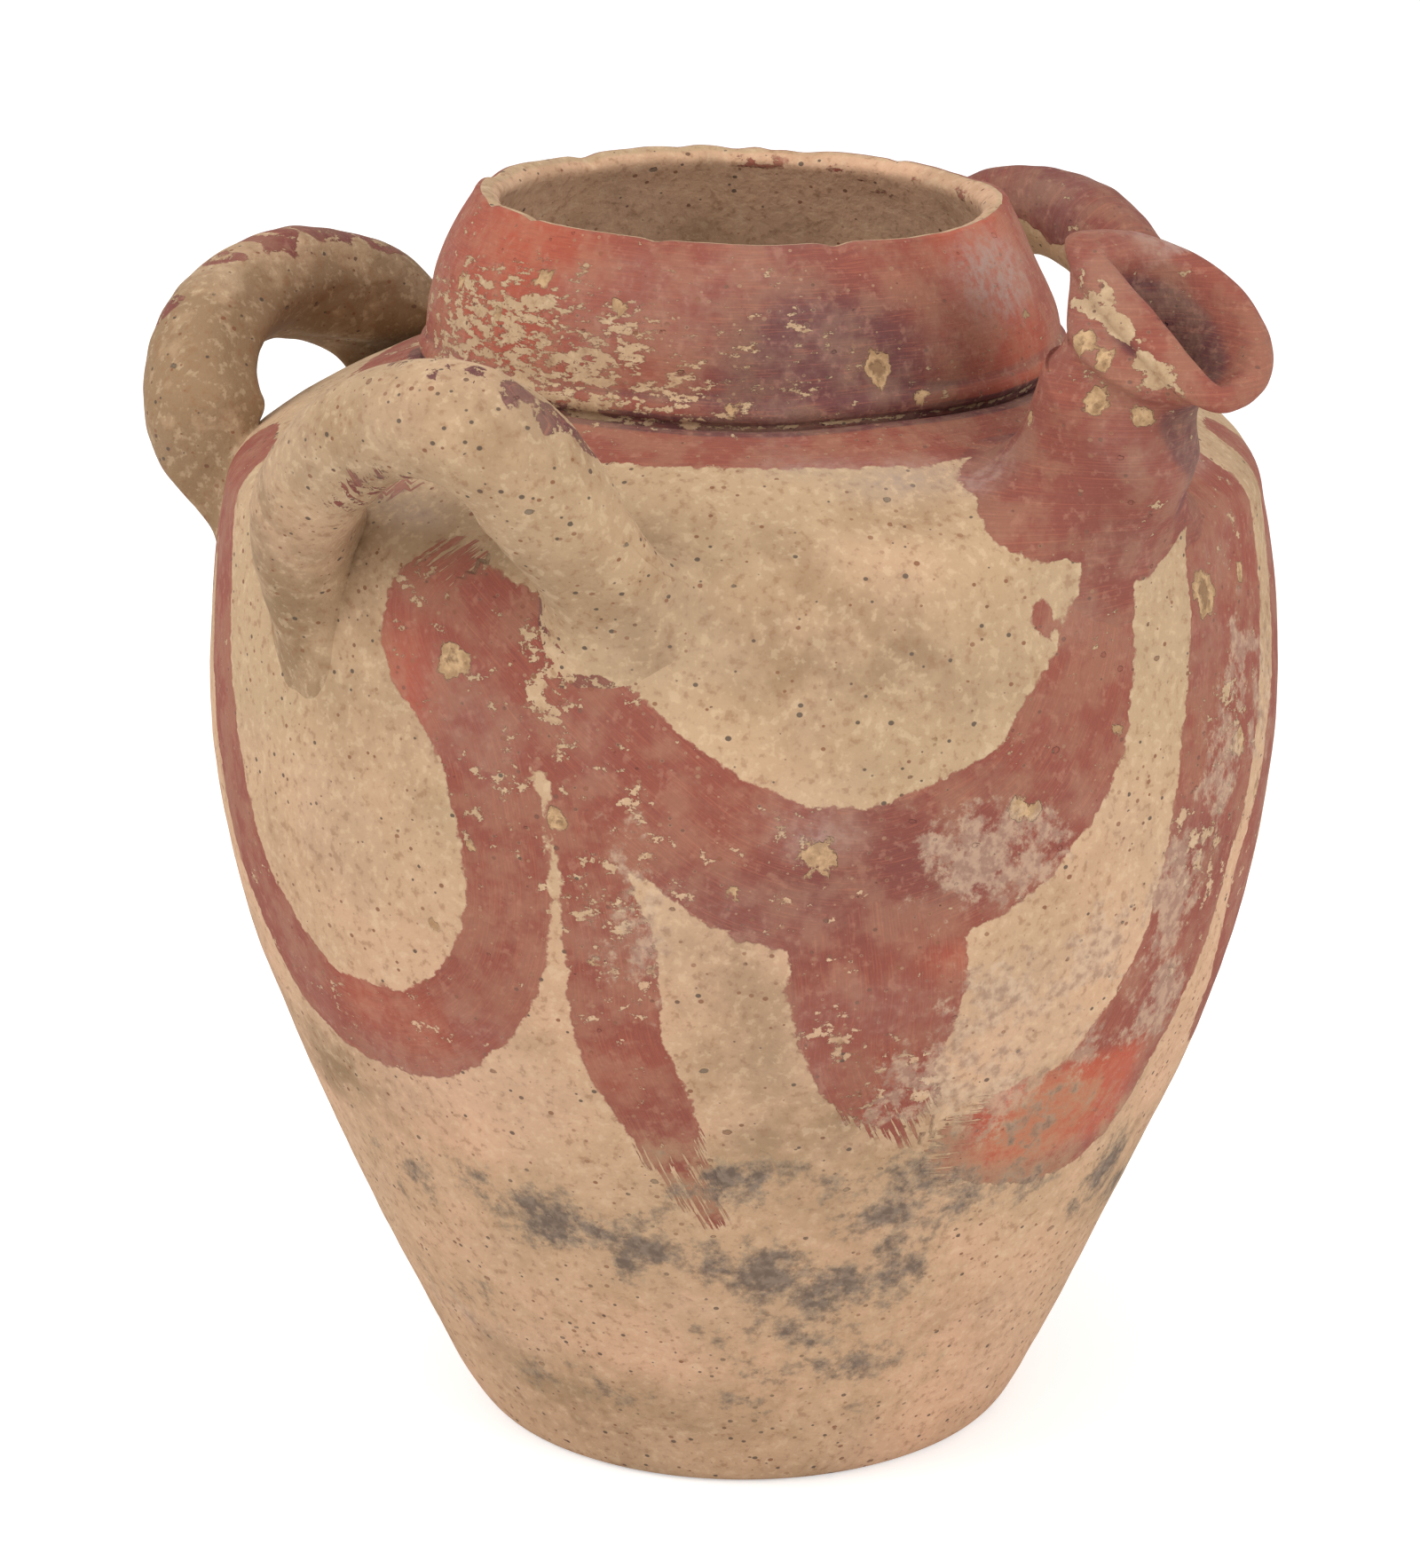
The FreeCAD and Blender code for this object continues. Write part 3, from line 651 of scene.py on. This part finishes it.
flaked = (
    0.28 + 0.66 * pool(-74, 249, 38, 20) + 0.22 * swathe(-110, 22) + 0.2 * swathe(-150, 30)
    - 0.25 * eased(run, 258, 270)
)
dark = 1.3 * pool(-27, 249, 17, 14) + 0.35 * swathe(-36, 30)
# Painted light: the collar's slip is lighter on its left and right sides and towards its top.
glow = 0.5 * swathe(-95, 30) + 0.75 * swathe(13, 17) + 0.15 * eased(run, 258, 270)
# Painted shade: the slip is darkened under the foot roll and in the crease above it.
groove = 2.0 * groove + 0.7 * np.exp(-(((level - 214.2) / 0.8) ** 2)) * (off > -3)
# Painted shade inside the collar: the clay is darker deeper down.
stain = 0.2 + 0.3 * mottle(points, 16, 9) + 0.4 * eased(-level, -232, -214)
collar_spalls = [
    (-19, 58.6, 218.5, 2.6), (-84, 54.4, 231, 2.2), (-93, 57.2, 224, 1.8), (-45, 60.6, 212.4, 1.2),
    (-66, 55.5, 229, 1.9), (-108, 56, 227.5, 1.6), (-12, 60, 213, 1.6), (19.7, 57.9, 221.7, 1.5),
    (-64, 60, 213, 0.8),
]
collar_spalls = [
    (far * math.cos(math.radians(turn)), far * math.sin(math.radians(turn)), level, size)
    for turn, far, level, size in collar_spalls
]
aged(
    jar_collar, extra_spalls=collar_spalls, slip=slip, along=np.radians(bearing) * 55, across=run, dry=0.12,
    flaked=np.where(outside, flaked, 0.85), bright=glow - dark - groove, patchy=0.1,
    stain=np.where(outside, 0.2, stain), grit=0.25,
)
collar_clay = fired_clay("fired_clay_brushed_round", 2.6)
jar_collar.data.materials.append(collar_clay)
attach(jar_collar, "root")
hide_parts("collar", "collar_foot_bead")


# The spout: a tube of clay rolled round a stick, set over the hole in the shoulder's edge and
# smeared out on to it. Its mouth is opened to a long lip, pinched in on one side to pour.
def bezier(poles, share):
    """The place on a curve and its direction there."""
    a, b, c, d = (np.array(pole, dtype=float) for pole in poles)
    t, s = share, 1 - share
    place = a * s ** 3 + b * 3 * s * s * t + c * 3 * s * t * t + d * t ** 3
    way = (b - a) * s * s + (c - b) * 2 * s * t + (d - c) * t * t
    return place, way / np.linalg.norm(way)


def wall_at(bearing, run):
    """The place on the wall's outside, its outward direction and its upward direction."""
    run = float(np.clip(run, line_runs[0], line_runs[-1]))
    index = int(np.clip(np.searchsorted(line_runs, run) - 1, 0, len(line_ways) - 1))
    share = (run - line_runs[index]) / line_lengths[index]
    reach, level = line_starts[index] + line_ways[index] * share
    up = line_ways[index] / line_lengths[index]
    turn = math.radians(bearing)
    spoke = np.array([math.cos(turn), math.sin(turn), 0])
    rise = spoke * up[0] + np.array([0, 0, up[1]])
    out = spoke * up[1] - np.array([0, 0, up[0]])
    return spoke * reach + np.array([0, 0, level]), out, rise


def smeared(ring, ways, footprint, out_ways, steps, pull, spread):
    """Rings from a tube's end down on to the wall, leaving the tube in its own direction and
    meeting the wall flat, as clay does under a thumb."""
    rings = []
    gap = np.linalg.norm(footprint - ring, axis=1)[:, None]
    for t in np.arange(1, steps + 1) / steps:
        s = 1 - t
        first, last = ring + ways * gap * pull, footprint - out_ways * gap * spread
        rings.append(ring * s ** 3 + first * 3 * s * s * t + last * 3 * s * t * t + footprint * t ** 3)
    return rings


def roll_clay(name, rings, joined=False):
    """A slab of clay rolled into a tube through rings of points, in mm."""
    rings = np.array(rings)
    rows, around = rings.shape[:2]
    bpy.ops.object.select_all(action="DESELECT")
    bpy.ops.mesh.primitive_grid_add(x_subdivisions=around, y_subdivisions=rows - 1, size=1)
    tube = bpy.context.object
    tube.name = name
    grid = places(tube) / 1000
    column = np.rint((grid[:, 0] + 0.5) * around).astype(int) % around
    row = np.rint((grid[:, 1] + 0.5) * (rows - 1)).astype(int)
    put_back(tube, rings[row, column])
    close_up(tube, cap=False)
    finish_with(tube, "SUBSURF", levels=1, render_levels=1)
    if not joined:
        close_up(tube)
    return tube


spout_poles = [(88, 0, 197), (90.3, 0, 209.8), (95.1, 0, 221.9), (102, 0, 232.5)]
spout_around = 96


def spout_ring(share, outer_half, inner_half, far_half, near_half, beyond=0, drop=0, lift=0, corner=0):
    """One ring of the spout: its half sizes away from the jar, towards it, and to its full and its
    pinched side, how far it stands beyond its place, how far its pinched side droops and its full
    side rises, and how much wider the pinched side is again at the pouring end."""
    ring = []
    for step in range(spout_around):
        turn = 2 * math.pi * step / spout_around
        c, s = math.cos(turn), math.sin(turn)
        centre, way = bezier(spout_poles, share[step] if np.ndim(share) else share)
        outward = np.array([way[2], 0, -way[0]])
        a = outer_half if c > 0 else inner_half
        b = far_half if s > 0 else near_half + corner * max(0, c) ** 2
        on = beyond + lift * max(0, s) - drop * max(0, -s) ** 1.5
        ring.append(centre + outward * (a * c) + np.array([0, 1, 0]) * (b * s) + way * on)
    return np.array(ring)


bore_rings = [
    spout_ring(share, half, half, half, half) for share, half in (
        (-0.12, 8.8), (0.02, 8.8), (0.14, 8.7), (0.26, 8.6), (0.38, 8.5), (0.48, 8.4), (0.57, 8.3)
    )
]
throat = [
    (0.66, 8.9, 8.4, 8.6, 7.2, 0, 0, 0, 0), (0.74, 10.2, 8.8, 9.6, 5.2, 0, 0, 0, 0),
    (0.81, 12.2, 9.6, 11.0, 3.5, 0, 0, 0, 0.5), (0.88, 14.6, 10.8, 12.8, 1.9, 0, 0, 0.4, 1.2),
    (0.93, 16.6, 11.8, 14.4, 1.0, 0, 0, 0.8, 1.8), (0.97, 18.0, 12.4, 15.6, 0.3, 0, 0, 1.2, 2.4),
    (1.0, 18.9, 13.0, 16.6, 0.0, 0.4, 0, 1.5, 2.8),
]
lip = [
    (1.0, 19.8, 13.9, 17.6, 0.4, 1.4, 0, 1.5, 3.0), (1.0, 21.0, 15.6, 19.0, 1.5, 1.9, 0, 1.5, 3.4),
    (1.0, 22.3, 18.0, 20.4, 3.2, 1.7, 0.1, 1.5, 3.9), (1.0, 23.2, 20.4, 21.7, 5.1, 1.0, 0.4, 1.5, 4.3),
    (1.0, 23.7, 22.3, 22.4, 6.6, -0.1, 0.8, 1.4, 4.6), (0.985, 23.7, 23.0, 22.5, 7.0, -0.9, 1.1, 1.3, 4.7),
    (0.962, 22.8, 22.4, 21.6, 6.4, -0.6, 1.2, 1.1, 4.4),
]
neck_outside = [
    (0.94, 21.4, 20.6, 19.8, 6.9, 0, 1.2, 0, 3.6), (0.90, 19.4, 18.2, 18.2, 8.4, 0, 1.2, 0, 2.4),
    (0.86, 18.0, 16.4, 16.9, 9.9, 0, 1.1, 0, 1.4), (0.82, 16.8, 14.7, 15.9, 11.0, 0, 0.9, 0, 0.7),
    (0.785, 15.9, 13.5, 15.2, 11.2, 0, 0.6, 0, 0.2), (0.755, 15.3, 12.8, 14.8, 10.3, 0, 0.3, 0, 0),
    (0.71, 14.7, 12.2, 14.3, 10.2, 0, 0.1, 0, 0), (0.65, 14.5, 12.2, 14.2, 11.4, 0, 0, 0, 0),
    (0.60, 14.6, 12.7, 14.4, 12.6, 0, 0, 0, 0),
]
outside_rings = [spout_ring(*row) for row in throat + lip + neck_outside]
# Where the neck begins to spread, lower on the side away from the jar than towards it
start = np.array([
    0.46 + 0.13 * max(0, -math.cos(turn)) + 0.08 * max(0, -math.sin(turn)) - 0.13 * max(0, math.cos(turn))
    for turn in np.arange(spout_around) * 2 * math.pi / spout_around
])
for t in (0.25, 0.5, 0.75, 1.0):
    halves = 14.6 + 2.4 * t, 12.7 + 0.9 * t, 14.4 + 3.2 * t * t, 12.6 + 1.1 * t
    outside_rings.append(spout_ring(0.60 + (start - 0.60) * t, *halves))
tucked = 0.35  # how far the thin edge of smeared clay runs in under the wall's surface, in mm
footprint, neck_ways, out_ways = [], [], []
for step in range(spout_around):
    turn = 2 * math.pi * step / spout_around
    c, s = math.cos(turn), math.sin(turn)
    wobble = 1 + 0.06 * math.sin(3 * turn + 1) + 0.04 * math.sin(5 * turn + 2)
    run_there = 209 - c * (26 if c > 0 else 27) * wobble
    bearing_there = math.degrees(s * 32 * wobble / 92)
    spot, out, rise = wall_at(bearing_there, run_there)
    side = math.radians(bearing_there)
    around_way = np.array([-math.sin(side), math.cos(side), 0])
    aim = -rise * c + around_way * s
    footprint.append(spot - out * tucked)
    out_ways.append(aim / np.linalg.norm(aim))
    neck_ways.append(-bezier(spout_poles, start[step])[1])
footprint = np.array(footprint)
skirt_rings = smeared(
    outside_rings[-1], np.array(neck_ways), footprint, np.array(out_ways), steps=20, pull=0.34, spread=0.55
)
under_ring = footprint * 0.4 + bore_rings[0] * 0.6
under_ring[:, 2] -= 0.5
spout_rings = bore_rings + outside_rings + skirt_rings + [under_ring, bore_rings[0]]
spout_shell = roll_clay("spout_shell", spout_rings, joined=True)
put_back(spout_shell, hand_shaped(places(spout_shell), fine=0.16))
points, bearing, run, off, reach = read_places(spout_shell)
cover, along, across, dry = brushed(bearing, run, reach)
cover = np.maximum(cover, round_the_neck(bearing, run, reach))
cover = np.where(off > 3.0, 20, np.maximum(cover, off * 3 - 4))
cover = np.clip(cover, -20, 20)
# The worn edge of the lip, from which the slip has gone
centre, way = bezier(spout_poles, 1.0)
from_mouth = points - centre
out_from_mouth = from_mouth @ np.array([way[2], 0, -way[0]])
edge_gap = np.abs(-from_mouth[:, 1] - 6.8 - 3.6 * eased(out_from_mouth, 0, 18))
edge_gap = edge_gap + np.abs(from_mouth @ way + 1.2) * 0.8
inward, onward = (out_from_mouth + 9) / 6, (out_from_mouth - 14) / 6
broad = 1.4 + 2.6 * np.exp(-(inward ** 2)) + 2.8 * np.exp(-(onward ** 2))
worn = eased(broad - edge_gap, -1.2, 0.8) * (from_mouth[:, 1] < 0) * (0.8 + 0.9 * mottle(points, 6, 11))
from_axis = np.hypot(out_from_mouth - 3, (from_mouth[:, 1] - 6) * 1.2)
cavity = eased(-from_mouth @ way, 0.5, 3.5) * eased(-from_axis, -17.5, -15)
spout_spalls = [
    (96.4, -11.2, 230.8, 1.8), (95.8, -10.6, 228.8, 2.4), (101.5, -10.4, 226.6, 1.7),
    (100.2, -12.6, 218.9, 2.3), (106.8, -6.9, 216.0, 2.4), (105.1, 0.3, 207.5, 1.7),
    (85.8, -12.2, 214.3, 1.3),
]
# Painted light: the spout's slip is lighter higher up and further out; painted shade: it is darker just
# inside its mouth.
lit = 0.25 * eased(points[:, 2], 206, 222) + 0.1 * eased(points[:, 0] - 0.4 * points[:, 1], 88, 100)
aged(
    spout_shell, extra_spalls=spout_spalls, slip=cover, along=points[:, 0] - points[:, 1],
    across=points[:, 2], dry=0.05, flaked=0.22 + 1.1 * worn, grit=0.4, bright=lit - 0.4 - cavity, patchy=0.15,
)
spout_shell.data.materials.append(painted_clay)
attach(spout_shell, "root")
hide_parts("spout_root", "spout_neck", "spout_lip")

# The loop handles: three thick straps rolled in the hands, bent over and up, and pressed on to
# the wall and the shoulder, with each end thumbed out over the wet clay round it.
handle_around = 56
loop_lean = math.radians(53)


def bend_strap(name, roots, patches, boxy=1.0, width=20.0, thickness=18.5, heavy=0.0):
    """A strap between two roots. Each root is its bearing, level, rise and splay, how far its clay
    is thumbed out (up the wall, down it, back and on round the jar), and how much earlier the
    strap's inner and outer sides begin to spread. Below 1, boxy squares the strap's inner side.
    A heavy first root is filled in below, so that its inner side falls straight to the wall.
    Each patch of slip on it is its share of the way, its turn round the strap and its reach."""
    ends, bearings = [], []
    for bearing, level, *_ in roots:
        run = float(np.interp(level, outer_line[:wall_count, 1], line_runs[:wall_count]))
        turn = math.radians(bearing)
        spoke = np.array([math.cos(turn), math.sin(turn), 0])
        ends.append((wall_at(bearing, run)[0] - spoke * wall_thickness / 2, run))
        bearings.append(turn)
    middle = sum(bearings) / 2
    chord = ends[1][0] - ends[0][0]
    chord /= np.linalg.norm(chord)
    level_share = math.cos(loop_lean)
    rising = np.array([math.cos(middle) * level_share, math.sin(middle) * level_share, math.sin(loop_lean)])
    across = np.cross(chord, rising)
    across /= np.linalg.norm(across)
    rising = np.cross(across, chord)
    poles = [ends[0][0]]
    for (spot, _), (_, _, rise, splay, _, _), way in zip(ends, roots, (-1, 1)):
        turn = math.radians(splay)
        poles.append(spot + (rising * math.cos(turn) + chord * way * math.sin(turn)) * rise)
    poles.append(ends[1][0])
    turns = np.arange(handle_around) * 2 * math.pi / handle_around
    inner, outer = np.maximum(0, np.sin(turns)), np.maximum(0, -np.sin(turns))

    def strap_ring(shares):
        """One ring of the strap, each of its points at its own share of the way."""
        ring = []
        for share, turn in zip(shares, turns):
            centre, way = bezier(poles, share)
            up = np.cross(way, across)
            up /= np.linalg.norm(up)
            swell = 1 + 0.03 * math.sin(9 * share + bearings[0] * 3) + 0.02 * math.sin(21 * share)
            swell += 0.14 * float(eased(abs(share - 0.5), 0.15, 0.42))
            c, s = math.cos(turn), math.sin(turn)
            square = boxy if s > 0 else 1.0
            x = math.copysign(abs(c) ** (0.5 + 0.5 * square), c) * width / 2 * swell
            y = math.copysign(abs(s) ** square, s) * thickness / 2 * swell
            ring.append(centre + across * x + up * y)
        return np.array(ring)

    def root_rings(shares, root, run, toward):
        """Rings from one end of the strap out over the wall."""
        bearing, (higher, lower, back, on) = root[0], root[4]
        ring = strap_ring(shares)
        rise = wall_at(bearing, run)[2]
        side = math.radians(bearing)
        spoke_side = np.array([-math.sin(side), math.cos(side), 0])
        feet, aims, ways = [], [], []
        for point, share in zip(ring, shares):
            centre, way = bezier(poles, share)
            lean_out = point - centre
            y, x = lean_out @ rise, lean_out @ spoke_side
            size = math.hypot(x, y) + 1e-9
            x, y = x / size, y / size
            turn = math.atan2(y, x)
            wobble = 1 + 0.05 * math.sin(3 * turn + bearing) + 0.03 * math.sin(7 * turn + 2 * bearing)
            run_there = run + y * (higher if y > 0 else lower) * wobble
            far_x = x * (on if x > 0 else back) * wobble
            reach = math.hypot(*wall_at(bearing, run_there)[0][:2])
            foot, foot_out, foot_rise = wall_at(bearing + math.degrees(far_x / reach), run_there)
            aim = foot_rise * y + spoke_side * x
            feet.append(foot - foot_out * tucked)
            aims.append(aim / np.linalg.norm(aim))
            ways.append(way * toward)
        pull = 0.5 * (1 - heavy * inner * (toward < 0))[:, None]
        ways, feet, aims = np.array(ways), np.array(feet), np.array(aims)
        return smeared(ring, ways, feet, aims, steps=16, pull=pull, spread=0.4)

    near = 0.15 + roots[0][5][0] * inner + roots[0][5][1] * outer
    far = 0.85 - roots[1][5][0] * inner - roots[1][5][1] * outer
    body = [strap_ring(near + (far - near) * t) for t in np.linspace(0, 1, 52)]
    start_rings = root_rings(near, roots[0], ends[0][1], -1)
    end_rings = root_rings(far, roots[1], ends[1][1], 1)
    strap = roll_clay(name, start_rings[::-1] + body + end_rings)
    points = places(strap)
    patch = np.full(len(points), -20.0)
    for share, turn, size in patches:
        centre, way = bezier(poles, share)
        turn = math.radians(turn)
        spot = centre + across * math.cos(turn) * width / 2
        spot = spot + np.cross(way, across) * math.sin(turn) * thickness / 2
        patch = np.maximum(patch, size - np.linalg.norm(points - spot, axis=1))
    put_back(strap, hand_shaped(points, fine=0.25))
    return strap, patch


handles = {
    "handle_right": dict(
        roots=[
            (-96, 182, 27, -3.6, (15, 26, 18, 21), (0.02, 0.09)),
            (-59, 188, 86, 13.5, (14, 20, 13, 31), (0.0, 0.09)),
        ],
        patches=[
            (0.59, 238, 1.6), (0.64, 241, 2.6), (0.69, 241, 3.4), (0.74, 238, 3.6), (0.79, 232, 3.2),
            (0.84, 226, 2.4), (0.41, 30, 4), (0.46, 28, 4.5), (0.51, 30, 4),
        ], boxy=0.7,
    ),
    "handle_left": dict(
        roots=[
            (81.6, 190.3, 40.7, -2, (14, 16, 15, 14), (0.0, 0.04)),
            (117.8, 188.3, 56.3, 9.2, (14, 16, 14, 16), (0.0, 0.04)),
        ],
        patches=[(0.5, 250, 30), (0.3, 260, 16), (0.7, 250, 18)],
    ),
    "handle_rear": dict(
        roots=[
            (181.5, 194.5, 43.9, 1.2, (20, 16, 15, 46), (0.28, 0.06)),
            (224.5, 181.5, 40.4, 9.4, (15, 16, 14, 9), (0.0, 0.03)),
        ],
        patches=[(0.2, 235, 8), (0.3, 240, 9), (0.42, 245, 8), (0.52, 250, 4), (0.62, 275, 5)],
        boxy=0.4, width=22.5, thickness=18.4, heavy=1.0,
    ),
}
handle_nodes = {
    "handle_right": ("handle_right", "handle_right_root_rear", "handle_right_root_front"),
    "handle_left": ("handle_left", "handle_left_root_front", "handle_left_root_rear"),
    "handle_rear": ("handle_rear", "handle_rear_root_left", "handle_rear_root_right"),
}
for handle, form in handles.items():
    strap, patch = bend_strap(handle.replace("handle", "strap"), **form)
    points, bearing, run, off, reach = read_places(strap)
    cover, along, across, dry = brushed(bearing, run, reach)
    cover = np.where(off < 3, cover - off * 4, -20)
    facing = np.empty(len(points) * 3, dtype=np.float32)
    strap.data.vertices.foreach_get("normal", facing)
    near_leg = eased(-points[:, 2], -220, -200) * eased(-bearing, 80, 88)
    stain = 0.5 + 0.5 * mottle(points, 24, 13) + 0.8 * near_leg
    # Painted shade: the rear strap's lower half is darkened, as its inner face lies in shade.
    if handle == "handle_rear":
        cover = np.full(len(points), -20.0)
        stain = 0.75 + 1.9 * eased(-points[:, 2], -222, -211) + 0.3 * mottle(points, 14, 14)
    if handle == "handle_left":
        patch = np.minimum(patch, (facing[2::3] + 0.15) * 14)
    cover = np.maximum(cover, patch + 4 * mottle(points, 9, 12))
    aged(
        strap, slip=np.clip(cover, -20, 20), along=along, across=across, dry=dry,
        flaked=0.2 if handle == "handle_left" else 0.8,
        bright=-0.5 - 0.6 * (facing[2::3] > 0) * (handle == "handle_right"),
        grit=0.4 if handle == "handle_rear" else 0.7, stain=np.clip(stain, 0, 2.6),
    )
    strap.data.materials.append(painted_clay)
    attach(strap, "root")
    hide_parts(*handle_nodes[handle])

# The floor: a pale sheet under the jar, so bright to the camera that it runs into the white
# behind it, but still grey in the jar's shadow.
bpy.ops.object.select_all(action="DESELECT")
bpy.ops.mesh.primitive_circle_add(vertices=96, radius=3.0, fill_type="NGON", location=(0, 0, 0))
floor = bpy.context.object
floor.name = "pale_floor"
floor_paint = bpy.data.materials.new("pale_floor_paint")
floor_paint.use_nodes = True
tree = floor_paint.node_tree
floor_shader = tree.nodes["Principled BSDF"]
floor_shader.inputs["Base Color"].default_value = (0.8, 0.8, 0.8, 1)
floor_shader.inputs["Roughness"].default_value = 0.9
floor_shader.inputs["Specular IOR Level"].default_value = 0.1
glow_shader = tree.nodes.new("ShaderNodeEmission")
glow_shader.inputs["Color"].default_value = (1, 1, 1, 1)
light_path = tree.nodes.new("ShaderNodeLightPath")
seen = tree.nodes.new("ShaderNodeMath")
seen.operation = "MULTIPLY"
seen.inputs[1].default_value = 0.46
tree.links.new(light_path.outputs["Is Camera Ray"], seen.inputs[0])
tree.links.new(seen.outputs[0], glow_shader.inputs["Strength"])
both = tree.nodes.new("ShaderNodeAddShader")
tree.links.new(floor_shader.outputs[0], both.inputs[0])
tree.links.new(glow_shader.outputs[0], both.inputs[1])
tree.links.new(both.outputs[0], tree.nodes["Material Output"].inputs["Surface"])
floor.data.materials.append(floor_paint)

# The studio: white all round, a large soft lamp high on the left and a weaker one on the right.
world = bpy.data.worlds.new("white_studio")
bpy.context.scene.world = world
world.use_nodes = True
tree = world.node_tree
sky = tree.nodes["Background"]
sky.inputs["Color"].default_value = (1.0, 0.99, 0.98, 1)
sight = tree.nodes.new("ShaderNodeLightPath")
strength = tree.nodes.new("ShaderNodeMapRange")
strength.inputs["To Min"].default_value = 0.78
strength.inputs["To Max"].default_value = 1.0
tree.links.new(sight.outputs["Is Camera Ray"], strength.inputs["Value"])
tree.links.new(strength.outputs[0], sky.inputs["Strength"])
for name, spot, size, power in (
    ("soft_lamp_left", (-0.35, -1.25, 0.95), 0.9, 9.0),
    ("soft_lamp_above", (0.1, -0.2, 1.4), 1.0, 2.5),
    ("soft_lamp_right", (1.3, 0.1, 0.6), 0.8, 7.0),
):
    bpy.ops.object.light_add(type="AREA", location=spot)
    lamp = bpy.context.object
    lamp.name = name
    lamp.data.shape = "DISK"
    lamp.data.size = size
    lamp.data.energy = power
    lamp.rotation_euler = (Vector((0, 0, 0.12)) - Vector(spot)).to_track_quat("-Z", "Y").to_euler()

# The camera: where the photograph was taken from, a little above the jar and 0.83 m away.
camera_bearing, pitch = math.radians(-43), math.radians(18.13)
picture_height, focal_length, axis_shift = 1767, 5050, -38  # in the picture's own dots
bpy.ops.object.camera_add(location=(0.60556, -0.5647, 0.3947))
camera = bpy.context.object
heading = Vector((-math.cos(camera_bearing), -math.sin(camera_bearing), 0))
sight_line = heading * math.cos(pitch) - Vector((0, 0, math.sin(pitch)))
camera.rotation_euler = sight_line.to_track_quat("-Z", "Y").to_euler()
camera.data.sensor_width = 36.0
camera.data.lens = focal_length * 36.0 / picture_height
camera.data.shift_x = axis_shift / picture_height
camera.data.clip_start = 0.01
bpy.context.scene.camera = camera
bpy.context.scene.view_settings.view_transform = "Standard"
